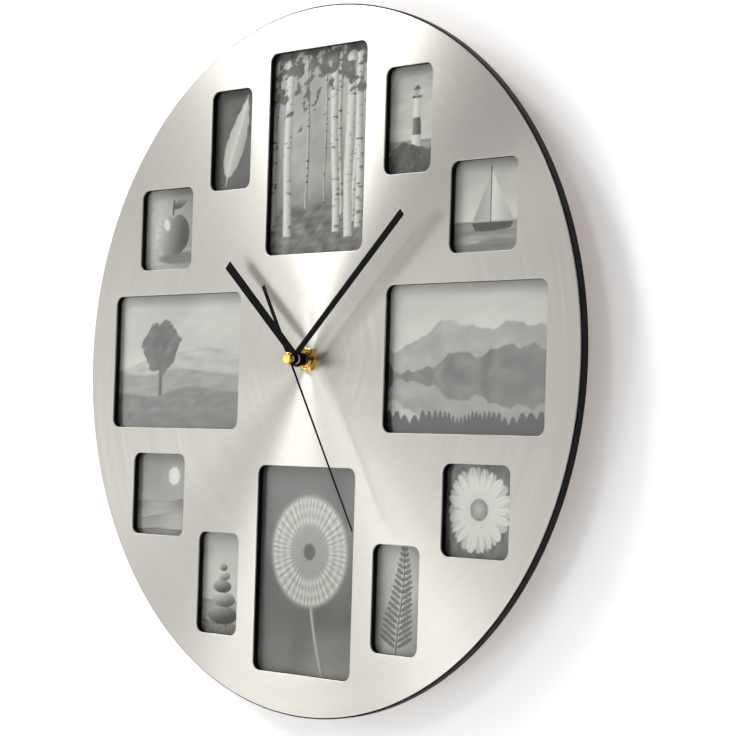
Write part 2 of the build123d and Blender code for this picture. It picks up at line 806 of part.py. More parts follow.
def third_wheel():
    """The third wheel, behind the middle plate, and its pinion in front of it."""
    back = case_wall + end_gap / 2
    front = case_inner_front - end_gap / 2
    place = third_place
    wheel_front = third_wheel_front
    pinion_front = minute_wheel_front + layer_gap
    part = disc(arbor_radius, back, front, place, pin_sides)
    part += gear_slab(third_wheel_teeth, third_module, third_wheel_back, wheel_front, place, third_phase)
    part += gear_slab(third_pinion_teeth, minute_module, wheel_front, pinion_front, place)
    return part + pivots(place, back, front, pivot_depth)


def minute_wheel():
    """The minute wheel, the cannon pinion and the pipe that carries the minute hand."""
    back = minute_wheel_back
    part = gear_slab(minute_wheel_teeth, minute_module, back, minute_wheel_front, phase=minute_phase)
    part += gear_slab(cannon_pinion_teeth, motion_module, cannon_pinion_back, cannon_pinion_front)
    part += disc(minute_pipe_radius, back, minute_pipe_end, sides=pipe_sides)
    return part - bore(second_shaft_radius + running_gap, back - cut_over, minute_pipe_end + cut_over)


def motion_wheel():
    """The motion wheel and its pinion, which turn on the case's post."""
    place = motion_place
    back = motion_wheel_back
    wheel_front = motion_wheel_front
    pinion_front = case_inner_front - end_gap
    part = gear_slab(motion_wheel_teeth, motion_module, back, wheel_front, place, motion_phase)
    part += gear_slab(motion_pinion_teeth, hour_module, wheel_front, pinion_front, place)
    return part - bore(motion_post_radius + running_gap, back - cut_over, pinion_front + cut_over, place)


def hour_wheel():
    """The hour wheel and the pipe that carries the hour hand."""
    part = gear_slab(hour_wheel_teeth, hour_module, hour_wheel_back, hour_wheel_front, phase=hour_phase)
    part += disc(hour_pipe_radius, hour_wheel_front, hour_pipe_end, sides=pipe_sides)
    bore_radius = minute_pipe_radius + running_gap
    return part - bore(bore_radius, hour_wheel_back - cut_over, hour_pipe_end + cut_over, sides=pipe_sides)


def knob_outline():
    """The knob's rim with its grip notches."""
    step = 360 / knob_grip_count
    points = []
    for index in range(knob_grip_count):
        points += [polar(knob_radius, index * step), polar(knob_radius, (index + 0.5) * step)]
        points.append(polar(knob_radius - knob_grip_depth, (index + 0.75) * step))
    return make_face(Polyline(*points, close=True))


def set_knob():
    """The setting knob at the back, its shaft and the pinion that turns the motion wheel."""
    knob_back = knob_recess
    knob_front = knob_back + knob_height
    knob = slab(Pos(*knob_place) * knob_outline(), knob_back, knob_front)
    knob -= block(
        2 * knob_radius - 4 * knob_grip_depth,
        knob_marker_width,
        knob_back - cut_over,
        knob_back + knob_marker_depth,
        knob_place,
    )
    front = case_inner_front - end_gap / 2
    knob += disc(knob_shaft_radius, knob_front, front, knob_place, pin_sides)
    knob += gear_slab(
        knob_pinion_teeth, motion_module, motion_wheel_back, motion_wheel_front, knob_place, knob_phase
    )
    return knob + disc(pivot_radius, front, front + pivot_depth - end_gap / 2, knob_place)


def hand_blade(length, root_width, tip_width):
    """The square-ended blade of a hand that points to twelve."""
    return make_face(
        Polyline(
            (-root_width / 2, 0),
            (-tip_width / 2, length),
            (tip_width / 2, length),
            (root_width / 2, 0),
            close=True,
        )
    )


def mounted_hand(blade, angle, plane, thickness, seat_radius):
    """A hand turned to its time, with a hole that fits what it is pressed on."""
    back = plane - thickness / 2
    hand = clockwise(slab(blade, back, back + thickness), angle)
    return hand - disc(seat_radius, back - cut_over, plane + cut_over, sides=pipe_sides)


def hour_hand():
    """The hour hand."""
    blade = hand_blade(hour_hand_length, hour_hand_root_width, hour_hand_tip_width)
    blade = blade + RegularPolygon(hour_hand_hub_radius, pipe_sides)
    return mounted_hand(blade, hour_hand_angle, hour_hand_plane, hand_thickness, hour_pipe_radius)


def minute_hand():
    """The minute hand."""
    blade = hand_blade(minute_hand_length, minute_hand_root_width, minute_hand_tip_width)
    blade = blade + RegularPolygon(minute_hand_hub_radius, pipe_sides)
    return mounted_hand(blade, minute_hand_angle, minute_hand_plane, hand_thickness, minute_pipe_radius)


def second_hand():
    """The second hand: a fine needle, a broader tail and a small hub."""
    blade = hand_blade(second_hand_length, second_hand_root_width, second_hand_tip_width)
    tail = Pos(0, -second_hand_tail / 2) * Rectangle(second_hand_tail_width, second_hand_tail)
    blade = blade + tail + RegularPolygon(second_hand_hub_radius, pipe_sides)
    return mounted_hand(
        blade, second_hand_angle, second_hand_plane, second_hand_thickness, second_neck_radius
    )


def collet(outer_radius, bore_radius, hand_plane, length):
    """The collar behind a hand that grips its pipe."""
    front = hand_plane - hand_thickness / 2
    back = front - length
    ring = disc(outer_radius, back, front, sides=pipe_sides)
    return ring - disc(bore_radius, back - cut_over, front + cut_over, sides=pipe_sides)


def second_cap_front():
    """The depth of the second hand's cap, at its front."""
    return second_hand_plane + second_hand_thickness / 2 + second_cap_height


def second_hand_cap():
    """The brass cap in front of the second hand, with the neck that grips its shaft."""
    seat = second_hand_plane + second_hand_thickness / 2
    head = disc(second_cap_radius, seat, second_cap_front(), sides=pipe_sides)
    head = chamfer(head.faces().sort_by(Axis.Y)[0].edges(), second_cap_chamfer)
    neck_back = seat - second_hand_thickness - second_neck_length
    cap = head + disc(second_neck_radius, neck_back, seat, sides=pipe_sides)
    bore_end = second_cap_front() - second_cap_height / 2
    return cap - disc(second_shaft_radius, neck_back - cut_over, bore_end, sides=pin_sides)


def build():
    """Every piece of the clock by its name."""
    pieces = {
        "dial_plate": dial_plate(),
        "frame_board": frame_board(),
        "rear_panel": rear_panel(),
        "turn_button_screws": Compound(children=[button_screw(place) for place in button_places()]),
        "movement_case": movement_case(),
        "movement_cover": movement_cover(),
        "middle_plate": middle_plate(),
        "stator": stator(),
        "coil": coil(),
        "circuit_board": circuit_board(),
        "quartz_crystal": quartz_crystal(),
        "battery": battery(),
        "positive_contact": positive_contact(),
        "negative_contact": negative_contact(),
        "threaded_bush": threaded_bush(),
        "fixing_nut": fixing_nut(),
        "rotor": rotor(),
        "intermediate_wheel": intermediate_wheel(),
        "second_wheel": second_wheel(),
        "third_wheel": third_wheel(),
        "minute_wheel": minute_wheel(),
        "motion_wheel": motion_wheel(),
        "hour_wheel": hour_wheel(),
        "set_knob": set_knob(),
        "hour_hand": hour_hand(),
        "minute_hand": minute_hand(),
        "second_hand": second_hand(),
        "hour_hand_collet": collet(
            hour_collet_radius, hour_pipe_radius, hour_hand_plane, hour_collet_length
        ),
        "minute_hand_collet": collet(
            minute_collet_radius, minute_pipe_radius, minute_hand_plane, minute_collet_length
        ),
        "second_hand_cap": second_hand_cap(),
    }
    for index in range(turn_button_count):
        pieces[f"turn_button_{index + 1}"] = turn_button(index)
    for hour, (x, z, width, height) in windows().items():
        pane_back = pocket_floor - window_pane_thickness
        pieces[f"window_pane_{hour:02d}"] = photo_sheet(x, z, width, height, pane_back, pocket_floor)
        pieces[f"photo_print_{hour:02d}"] = photo_sheet(x, z, width, height, board_floor, pane_back)
    return pieces


os.makedirs("parts", exist_ok=True)
for name, shape in build().items():
    export_step(shape, f"parts/{name}.step")
print(f"dial diameter {2 * dial_radius:.1f}, depth from the wall to the dial {dial_face:.1f}")
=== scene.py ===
# %% [markdown]
# # A wall clock with twelve photographs
# The CAD frame gives every piece its place. This script gives each piece its finish, and rebuilds the pieces
# that the eye rests on: the brushed face, the photographs and their panes, the hands and the brass hub.
# It begins with the frame, because all that follows is measured from it.

# %% Load the frame
import json
from math import asin, cos, pi, radians, sin

import bmesh
import bpy
import numpy as np
from mathutils import Matrix, Vector
from mathutils.geometry import tessellate_polygon

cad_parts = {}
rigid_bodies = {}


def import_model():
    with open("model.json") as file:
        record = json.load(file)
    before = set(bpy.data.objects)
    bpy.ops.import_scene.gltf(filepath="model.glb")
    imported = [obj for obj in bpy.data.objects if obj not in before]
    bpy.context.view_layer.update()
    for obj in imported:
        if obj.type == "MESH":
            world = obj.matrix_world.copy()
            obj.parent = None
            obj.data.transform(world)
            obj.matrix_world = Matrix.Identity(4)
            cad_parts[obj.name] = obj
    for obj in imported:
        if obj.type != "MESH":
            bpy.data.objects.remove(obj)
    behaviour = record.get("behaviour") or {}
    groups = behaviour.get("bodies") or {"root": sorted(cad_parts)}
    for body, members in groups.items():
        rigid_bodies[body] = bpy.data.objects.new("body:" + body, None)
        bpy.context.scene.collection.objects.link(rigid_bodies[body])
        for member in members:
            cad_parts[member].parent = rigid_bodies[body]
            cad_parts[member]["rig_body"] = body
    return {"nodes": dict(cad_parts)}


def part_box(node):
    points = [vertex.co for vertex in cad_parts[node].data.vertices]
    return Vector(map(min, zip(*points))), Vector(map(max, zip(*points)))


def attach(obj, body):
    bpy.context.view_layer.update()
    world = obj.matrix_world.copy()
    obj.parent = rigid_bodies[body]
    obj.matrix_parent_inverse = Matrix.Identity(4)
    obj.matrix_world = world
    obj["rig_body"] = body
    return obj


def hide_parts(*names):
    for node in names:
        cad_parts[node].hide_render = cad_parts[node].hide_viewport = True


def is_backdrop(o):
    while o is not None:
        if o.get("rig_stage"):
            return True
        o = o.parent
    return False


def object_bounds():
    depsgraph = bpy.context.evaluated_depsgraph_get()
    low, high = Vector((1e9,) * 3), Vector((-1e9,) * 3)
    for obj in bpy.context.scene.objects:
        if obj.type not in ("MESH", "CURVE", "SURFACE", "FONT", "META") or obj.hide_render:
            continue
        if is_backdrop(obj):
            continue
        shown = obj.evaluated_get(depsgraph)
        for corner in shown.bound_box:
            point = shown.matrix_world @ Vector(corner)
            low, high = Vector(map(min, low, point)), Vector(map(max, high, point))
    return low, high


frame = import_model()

MM = 0.001
frame_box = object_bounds()
scene = bpy.context.scene

# %% [markdown]
# ## Measures
# A piece is drawn in the dial's plane, x to the right and z up, and given thickness between two depths from
# the wall. Both are read off the CAD node that the piece stands for, so the two never disagree.

# %% Measures of a node
def depths(node):
    """The back and front of a node, in millimetres from the wall."""
    low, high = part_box(node)
    return -high.y / MM, -low.y / MM


def middle(node):
    """The middle of a node in the dial's plane, in millimetres."""
    low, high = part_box(node)
    return (low.x + high.x) / 2 / MM, (low.z + high.z) / 2 / MM


def half_size(node):
    """Half the width and half the height of a node, in millimetres."""
    low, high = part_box(node)
    return (high.x - low.x) / 2 / MM, (high.z - low.z) / 2 / MM


pane_overlap = 2.0
window_corner = 4.5
hours = range(1, 13)
windows = {}
for hour in hours:
    wide, tall = half_size(f"window_pane_{hour:02d}")
    windows[hour] = (*middle(f"window_pane_{hour:02d}"), wide - pane_overlap, tall - pane_overlap)
low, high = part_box("dial_plate")
dial_radius = min(-low.x, high.x) / MM
print("dial", round(2 * dial_radius, 2), "mm across, window at twelve", [round(v, 2) for v in windows[12]])

# %% [markdown]
# ## Drawing tools
# Outlines are lists of points in the dial's plane. A Form collects rings of such points at chosen depths,
# walls between them and flat levels that close them. Doubled points are welded at the end, so that every
# piece comes out closed.

# %% Outlines
def polar(radius, angle, centre=(0, 0)):
    """The point at a radius and an angle from a centre."""
    return centre[0] + radius * cos(angle), centre[1] + radius * sin(angle)


def circle(radius, count, centre=(0, 0)):
    """A round outline."""
    return [polar(radius, 2 * pi * i / count, centre) for i in range(count)]


def rounded_box(x, z, half_wide, half_tall, radius, steps=9):
    """A box outline with round corners."""
    points = []
    for quarter, (side, rise) in enumerate(((1, 1), (-1, 1), (-1, -1), (1, -1))):
        corner = (x + side * (half_wide - radius), z + rise * (half_tall - radius))
        points += [polar(radius, pi / 2 * (quarter + step / steps), corner) for step in range(steps + 1)]
    return points


def clockwise(points, angle):
    """The points turned clockwise about the dial's middle."""
    c, s = cos(angle), sin(angle)
    return [(x * c + z * s, z * c - x * s) for x, z in points]


def grown(loop, by):
    """The outline moved outwards by a distance, or inwards where it is below zero."""
    p = np.array(loop, float)
    ahead = np.roll(p, -1, 0) - p
    ahead /= np.linalg.norm(ahead, axis=1)[:, None]
    behind = np.roll(ahead, 1, 0)
    normal = np.stack([ahead[:, 1] + behind[:, 1], -ahead[:, 0] - behind[:, 0]], 1)
    normal /= (1 + (ahead * behind).sum(1))[:, None]
    return [tuple(q) for q in p + by * normal]


# %% The form
class Form:
    """A piece being drawn: its points in metres, its faces and the finish of each."""

    def __init__(self):
        self.points, self.faces, self.finish = [], [], []

    def ring(self, loop, depth):
        """Adds an outline at one depth. A single point makes a pole."""
        first = len(self.points)
        self.points += [(x * MM, -depth * MM, z * MM) for x, z in loop]
        return list(range(first, len(self.points)))

    def add(self, faces, finish=0):
        """Adds faces in one of the piece's finishes."""
        self.faces += faces
        self.finish += [finish] * len(faces)

    def wall(self, rings, finish=0, closed=False):
        """Joins each ring to the next, and the last to the first where the section is closed."""
        pairs = list(zip(rings, rings[1:])) + ([(rings[-1], rings[0])] if closed else [])
        for a, b in pairs:
            n = max(len(a), len(b))
            quads = [(a[i % len(a)], a[(i + 1) % len(a)], b[(i + 1) % len(b)], b[i % len(b)])
                     for i in range(n)]
            self.add([tuple(dict.fromkeys(q)) for q in quads], finish)

    def level(self, rings, finish=0):
        """A flat face inside the first ring, with the other rings as its holes."""
        index = [i for ring in rings for i in ring]
        flat = [[Vector((self.points[i][0], self.points[i][2], 0)) for i in ring] for ring in rings]
        self.add([tuple(index[k] for k in corner) for corner in tessellate_polygon(flat)], finish)


def sheet(form, outlines, back, front, edge, back_finish=0, steps=3):
    """A flat sheet from its outside and its holes, every edge rounded a little."""
    arc = [pi / 2 * k / steps for k in range(steps + 1)]
    section = [(edge * (1 - sin(a)), back + edge * (1 - cos(a))) for a in arc]
    section += [(edge * (1 - cos(a)), front - edge * (1 - sin(a))) for a in arc]
    backs, fronts = [], []
    for number, loop in enumerate(outlines):
        out = -1 if number == 0 else 1
        rings = [form.ring(grown(loop, out * inset), depth) for inset, depth in section]
        form.wall(rings)
        backs.append(rings[0])
        fronts.append(rings[-1])
    form.level(backs, back_finish)
    form.level(fronts)


def turned(form, section, count=64, centre=(0, 0), finish=0, closed=True):
    """A turned piece from (radius, depth) points. A radius of zero ends in a pole."""
    rings = [form.ring(circle(r, count, centre) if r > 0 else [centre], depth) for r, depth in section]
    form.wall(rings, finish, closed)


# %% From a form to a piece of the clock
finishes = {}


def add_object(name, data):
    """A new object in the scene."""
    thing = bpy.data.objects.new(name, data)
    scene.collection.objects.link(thing)
    return thing


def applied(thing):
    """A mesh of the object as it is with its modifiers."""
    bpy.context.view_layer.update()
    return bpy.data.meshes.new_from_object(thing.evaluated_get(bpy.context.evaluated_depsgraph_get()))


def written(work, mesh):
    """Writes an edited shape back to its mesh, and says whether the shape is closed."""
    open_edges = sum(1 for e in work.edges if len(e.link_faces) != 2)
    work.to_mesh(mesh)
    work.free()
    print(f"{mesh.name}: {len(mesh.polygons)} faces, {open_edges} open edges")


def mesh_from(form, name):
    """The mesh of a form, its doubled points joined and every face turned outwards."""
    mesh = bpy.data.meshes.new(name)
    mesh.from_pydata(form.points, [], form.faces)
    mesh.polygons.foreach_set("material_index", form.finish)
    work = bmesh.new()
    work.from_mesh(mesh)
    bmesh.ops.remove_doubles(work, verts=work.verts, dist=1e-7)
    bmesh.ops.recalc_face_normals(work, faces=work.faces)
    written(work, mesh)
    return mesh


def place_piece(mesh, name, body, nodes, slot, crease, *more_finishes):
    """Makes a mesh a piece: the finish of its slot and any more, smooth shading up to a crease, its body, and
    the CAD nodes it stands for hidden.
    """
    piece = add_object(name, mesh)
    for material in (finishes[slot], *more_finishes):
        mesh.materials.append(material)
    mesh.shade_smooth()
    mesh.set_sharp_from_angle(angle=radians(crease))
    flat = piece.modifiers.new("flat faces stay flat", "WEIGHTED_NORMAL")
    flat.keep_sharp, flat.weight = True, 90
    piece.data = applied(piece)
    piece.modifiers.clear()
    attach(piece, body)
    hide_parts(*nodes)
    return piece


def made_from(form, name, body, nodes, slot, crease=32, *more_finishes):
    """Makes the piece that a form describes."""
    return place_piece(mesh_from(form, name), name, body, nodes, slot, crease, *more_finishes)


# %% [markdown]
# ## Finishes
# Each finish is built from shader nodes. Colours are written as they look on a screen and made linear once.
# Patterns read the Object coordinates, in metres, so a scale of 1000 is one cycle in about a millimetre.

# %% Shader helpers
# The sockets of a Mix node that mixes colours.
FIRST, SECOND, MIXED = 6, 7, 2


def linear(code):
    """A colour written as #rrggbb, made linear for the shader."""
    parts = [int(code[i:i + 2], 16) / 255 for i in (1, 3, 5)]
    return [c / 12.92 if c <= 0.04045 else ((c + 0.055) / 1.055) ** 2.4 for c in parts] + [1.0]


def plug(node, values):
    """Sets a node's inputs, by name or number, to a value, a #rrggbb colour or a link from another node."""
    for name, value in values.items():
        if isinstance(value, bpy.types.NodeSocket):
            node.id_data.links.new(value, node.inputs[name])
        else:
            node.inputs[name].default_value = linear(value) if isinstance(value, str) else value


def adder(tree, prefix="ShaderNode"):
    """The function that adds a node to a tree, with its inputs and options, and gives one of its outputs."""
    def add(kind, values=None, output=0, **options):
        node = tree.nodes.new(prefix + kind)
        for name, value in options.items():
            setattr(node, name, value)
        plug(node, values or {})
        return node.outputs[output]
    return add


def new_finish(name):
    """A new material with its Principled shader, the function that adds its nodes and its coordinates."""
    material = bpy.data.materials.new(name)
    material.use_nodes = True
    add = adder(material.node_tree)
    print("made", name)
    return material, material.node_tree.nodes["Principled BSDF"], add, add("TexCoord", output="Object")


def ring_lines(add, place, along, around):
    """Coordinates in the shape of circular scratches: along the radius and, more slowly, around the hub."""
    away = add("VectorMath", {0: place, 1: (1, 0, 1)}, operation="MULTIPLY")
    radial = add("VectorMath", {0: away}, operation="NORMALIZE")
    length = add("VectorMath", {0: away}, "Value", operation="LENGTH")
    run = add("Math", {0: length, 1: along}, operation="MULTIPLY")
    turn = add("VectorMath", {0: radial, "Scale": around}, operation="SCALE")
    x, z = (add("SeparateXYZ", {0: turn}, axis) for axis in "XZ")
    return add("CombineXYZ", {0: run, 1: x, 2: z}), radial


def noise_finish(name, tint, colours, matt, roughness, relief, strength, depth, **more):
    """A finish from three noise patterns: tint mixes its colours, matt its roughness, relief raises it.

    A pattern is a scale, a detail and a roughness, and two numbers more where it runs in rings.
    """
    material, skin, add, place = new_finish(name)
    noises = []
    for scale, detail, rough, *rings in (tint, matt, relief):
        where, radial = ring_lines(add, place, *rings) if rings else (place, None)
        noises.append(add("TexNoise", {"Vector": where, "Scale": scale, "Detail": detail,
                                       "Roughness": rough}))
    plug(skin, {key.replace("_", " "): value for key, value in more.items()})
    plug(skin, {
        "Base Color": add("Mix", {"Factor": noises[0], FIRST: colours[0], SECOND: colours[1]}, MIXED,
                          data_type="RGBA"),
        "Roughness": add("MapRange", {"Value": noises[1], "To Min": roughness[0], "To Max": roughness[1]}),
        "Normal": add("Bump", {"Height": noises[2], "Strength": strength, "Distance": depth})})
    if radial:
        plug(skin, {"Tangent": radial})
    return material


# %% [markdown]
# The face is aluminium sheet brushed while it spins, so each scratch is part of a circle round the hub. Light
# is thrown out along the radius, and a lamp shows as a bright fan through the hub. The shader therefore takes
# the radius as the direction that its gloss is stretched along.

# %% Circular brushed aluminium
fine, broad = (1.0, 3, 0.5, 2600, 2.6), (1.0, 2, 0.5, 420, 1.1)
finishes["brushed_aluminium"] = noise_finish(
    "aluminium sheet, circular brushed", fine, ("#c4c1ba", "#d5d2cb"), broad, (0.34, 0.44),
    fine, 0.10, 0.00002, Metallic=0.86, Anisotropic=0.9)

# %% [markdown]
# The brass pieces of the hub are turned on a lathe and left bright. Their marks are fine rings round the hub.

# %% Turned brass
marks = (1.0, 2, 0.5, 9000, 1.5)
finishes["brass"] = noise_finish(
    "brass, turned bright", (900, 3, 0.5), ("#d0a150", "#e2bd70"), marks, (0.16, 0.28), marks, 0.15, 0.00001,
    Metallic=1.0, Anisotropic=0.4)

# %% [markdown]
# The hands are stamped aluminium in satin black paint, smooth to the eye, with a faint orange peel. They are
# sprayed from the front only, so their backs stay bare, and the brushed face mirrors those as pale stripes.
# The board is fibreboard sprayed black. A cut edge drinks more paint than a face, so it stays duller, and its
# fibres raise a fine grain.

# %% Black paints
peel, fibre = (1500, 2, 0.5), (2200, 4, 0.6)
finishes["hand_black"] = noise_finish(
    "aluminium, satin black paint", (300, 2, 0.5), ("#050505", "#090909"), peel, (0.40, 0.52), peel, 0.12,
    0.00002, Specular_IOR_Level=0.06)
finishes["black_board"] = noise_finish(
    "fibreboard, sprayed black", fibre, ("#050505", "#0e0d0d"), (240, 3, 0.5), (0.42, 0.6), fibre, 0.35,
    0.00004, Specular_IOR_Level=0.12)

# %% [markdown]
# Hardboard is pressed from brown wood fibre. Its smooth side faces out, mottled with darker fibre bundles.

# %% Hardboard
finishes["hardboard"], skin, add, place = new_finish("hardboard, smooth side")
fibres = add("TexNoise", {"Vector": place, "Scale": 650, "Detail": 6, "Roughness": 0.65})
clumps = add("TexNoise", {"Vector": place, "Scale": 70, "Detail": 4, "Roughness": 0.6})
bundles = add("MapRange", {"Value": fibres, "From Min": 0.56, "From Max": 0.68})
body_colour = add("Mix", {"Factor": clumps, FIRST: "#866548", SECOND: "#a2805c"}, MIXED, data_type="RGBA")
colour = add("Mix", {"Factor": bundles, FIRST: body_colour, SECOND: "#5b3f27"}, MIXED, data_type="RGBA")
plug(skin, {
    "Base Color": colour,
    "Roughness": add("MapRange", {"Value": fibres, "To Min": 0.5, "To Max": 0.72}),
    "Normal": add("Bump", {"Height": fibres, "Strength": 0.3, "Distance": 0.00006})})

# %% [markdown]
# The panes are cut from clear plastic sheet. Light passes straight through to the photograph behind, the
# surface mirrors more at a low angle, and fine scuffs leave a little haze.

# %% Clear plastic sheet
finishes["clear_pane"], skin, add, place = new_finish("clear plastic sheet, a little hazy")
scuffs = add("TexNoise", {"Vector": place, "Scale": 120, "Detail": 4, "Roughness": 0.6})
mist_share = add("MapRange", {"Value": scuffs, "To Min": 0.01, "To Max": 0.025})
misted = add("MixShader", {0: mist_share, 1: add("BsdfTransparent", {"Color": "#fbfcfb"}),
                           2: add("BsdfDiffuse", {"Color": "#f2f2f0"})})
gloss = add("MapRange", {"Value": scuffs, "To Min": 0.10, "To Max": 0.22})
outside = add("Math", {0: 1.0, 1: add("NewGeometry", output="Backfacing")}, operation="SUBTRACT")
edge_on = add("Math", {0: add("Fresnel", {"IOR": 1.49}), 1: outside}, operation="MULTIPLY")
glossed = add("MixShader", {0: edge_on, 1: misted, 2: add("BsdfAnisotropic", {"Roughness": gloss})})
plug(skin.id_data.nodes["Material Output"], {"Surface": glossed})
skin.id_data.nodes.remove(skin)

# %% [markdown]
# The photographs are black and white prints on matt paper with a warm tone. Each print carries its picture as
# a tone from 0, full ink, to 1, bare paper, and the paper adds its own fine grain.

# %% Photographic paper
finishes["photo_paper"], skin, add, place = new_finish("matt photographic paper, warm black print")
tone = add("Attribute", output="Fac", attribute_name="tone")
stretched = add("MapRange", {"Value": tone, "From Min": 0.08, "From Max": 0.95})
printed = add("Math", {0: stretched, 1: 1.5}, operation="POWER")
speck = add("MapRange", {"Value": add("TexNoise", {"Vector": place, "Scale": 4200}), "To Min": -0.05,
                         "To Max": 0.05})
ink = add("Math", {0: printed, 1: speck}, operation="ADD")
tooth = add("TexNoise", {"Vector": place, "Scale": 3000})
plug(skin, {
    "Base Color": add("Mix", {"Factor": ink, FIRST: "#1f1e1d", SECOND: "#d9d6d0"}, MIXED, data_type="RGBA"),
    "Roughness": 0.55, "Normal": add("Bump", {"Height": tooth, "Strength": 0.1, "Distance": 0.00002})})

# %% [markdown]
# Small steel parts are zinc plated: a cool, slightly cloudy grey. The contacts are nickel plated and warmer.
# The stator is soft iron, dull from annealing.

# %% Plated and bare metals
def plated(name, dark, light, low, high):
    """A metal with the cloudy tone of a thin coat."""
    clouds, pores = (380, 4, 0.6), (2600, 3, 0.5)
    return noise_finish(name, clouds, (dark, light), clouds, (low, high), pores, 0.15, 0.00001, Metallic=1.0)


finishes["plated_steel"] = plated("steel, zinc plated", "#a9adb1", "#c9ccce", 0.24, 0.42)
finishes["contact_steel"] = plated("spring steel, nickel plated", "#bdb8ac", "#d6d2c8", 0.18, 0.32)
finishes["stator_iron"] = plated("soft iron, annealed", "#85837f", "#a5a4a1", 0.42, 0.6)
bare_hand_back = plated("aluminium, stamped and bare", "#cbcbc8", "#dededc", 0.3, 0.45)

# %% [markdown]
# The movement is moulded plastic. A spark-eroded mould leaves its faces with a fine, even grain, so the black
# case looks soft; the plates inside are natural polystyrene and the wheels creamy acetal.

# %% Moulded plastics
for slot, name, dark, light, low, high, grain_scale, inner_light in (
        ("case_plastic", "case plastic, moulded black", "#101011", "#191919", 0.4, 0.58, 1900, 0.0),
        ("plate_plastic", "plate plastic, moulded natural", "#d6d4cb", "#e2e0d8", 0.38, 0.5, 1900, 0.1),
        ("wheel_plastic", "wheel plastic, creamy acetal", "#e2ddcb", "#ece8da", 0.3, 0.42, 1900, 0.15),
        ("rotor_plastic", "rotor, bonded magnet", "#1d1e20", "#34353a", 0.4, 0.65, 5200, 0.0),
        ("circuit_laminate", "circuit laminate, green lacquer", "#0b3a20", "#12502d", 0.22, 0.34, 900, 0.0),
        ("battery_wrap", "battery sleeve, grey film", "#3a3b3f", "#46474c", 0.2, 0.3, 500, 0.0)):
    grain = (grain_scale, 3, 0.6)
    finishes[slot] = noise_finish(name, (160, 3, 0.5), (dark, light), grain, (low, high), grain, 0.3, 0.00002,
                                  Subsurface_Weight=inner_light, Subsurface_Scale=0.0006)

# %% [markdown]
# The coil is enamelled copper wire wound in close turns. Each turn is a thin ridge round the bobbin, drawn
# here at 0.25 mm, coarser than the real wire, so that the winding can be seen.

# %% Enamelled copper winding
finishes["coil_wire"], skin, add, place = new_finish("copper wire, enamelled and wound")
# The bands also set the colour: darker in the grooves between turns is painted shade, lighter on each crest
# is a painted highlight.
wire_turns_and_painted_shade = add("TexWave", {"Vector": place, "Scale": 1270.0, "Distortion": 0.4, "Detail": 1.0}, "Fac",
            wave_type="BANDS", bands_direction="X")
plug(skin, {
    "Base Color": add("Mix", {"Factor": wire_turns_and_painted_shade, FIRST: "#6d2c12", SECOND: "#c4683a"}, MIXED, data_type="RGBA"),
    "Metallic": 1.0, "Roughness": 0.32,
    "Normal": add("Bump", {"Height": wire_turns_and_painted_shade, "Strength": 0.8, "Distance": 0.00008})})

# %% [markdown]
# ## The face
# The face is one sheet 0.8 mm thick, punched with twelve windows, and punching rolls its edges over slightly.
# It ends 0.7 mm inside the board's rim, which then shows as a thin dark line round the top of the face.

# %% The dial plate
bush_hole = 4.2
plate_radius = dial_radius - 0.7
rolled_edge = 0.22
rim_steps, hole_steps = 288, 64
form = Form()
openings = [rounded_box(*windows[hour], window_corner) for hour in hours] + [circle(bush_hole, hole_steps)]
sheet(form, [circle(plate_radius, rim_steps), *openings], *depths("dial_plate"), rolled_edge)
made_from(form, "brushed_dial_plate", "clock", ["dial_plate"], "brushed_aluminium")

# %% [markdown]
# ## The board
# The board gives the clock its black edge. From the front its windows have a lip, from behind they are
# pockets for pane and print, and a shallow rebate takes the hardboard back.

# %% The frame board
board_back, board_front = depths("frame_board")
rebate_floor = depths("rear_panel")[1]
pocket_floor = depths("window_pane_12")[1]
clearance = 0.3
rebate_radius = half_size("rear_panel")[1] + clearance
pocket_margin = pane_overlap + clearance
pocket_corner = 0.5
worn_edge = 0.3
form = Form()
outside = circle(dial_radius, rim_steps)
rim = [form.ring(grown(outside, inset), depth) for inset, depth in (
    (-worn_edge, board_back), (-worn_edge * 0.3, board_back + worn_edge * 0.3), (0, board_back + worn_edge),
    (0, board_front))]
step = [form.ring(circle(rebate_radius, rim_steps), depth) for depth in (board_back, rebate_floor)]
form.wall(rim)
form.wall(step)
form.level([rim[0], step[0]])
fronts, floors = [rim[-1]], [step[-1]]
for x, z, wide, tall in windows.values():
    corner = rounded_box(x, z, wide, tall, window_corner)
    lip = [form.ring(corner, depth) for depth in (pocket_floor, board_front)]
    corner = rounded_box(x, z, wide + pocket_margin, tall + pocket_margin, pocket_corner, 2)
    pocket = [form.ring(corner, depth) for depth in (rebate_floor, pocket_floor)]
    form.wall(lip)
    form.wall(pocket)
    form.level([pocket[1], lip[0]])
    fronts.append(lip[1])
    floors.append(pocket[0])
centre_hole = [form.ring(circle(bush_hole, hole_steps), depth) for depth in (rebate_floor, board_front)]
form.wall(centre_hole)
form.level([*fronts, centre_hole[1]])
form.level([*floors, centre_hole[0]])
made_from(form, "black_frame_board", "clock", ["frame_board"], "black_board")

# %% [markdown]
# ## The photographs
# The clock is sold with pictures that its owner replaces, so these are twelve quiet subjects of my own:
# landscapes, plants and simple things, in the same warm grey and low contrast. Each is painted with
# formulas, from the back of the scene to the front, at half a millimetre to a step. The middle of a picture
# is 0, its shorter side runs from -1 to 1, and a tone runs from 0, black, to 1, white.

# %% Painting tools
def unit(value):
    """The value, held between 0 and 1."""
    return np.clip(value, 0, 1)


def every(*bounds):
    """Above zero where every bound is."""
    return np.minimum.reduce(bounds)


def band(value, at, half):
    """Above zero within half of a place."""
    return half - np.abs(value - at)


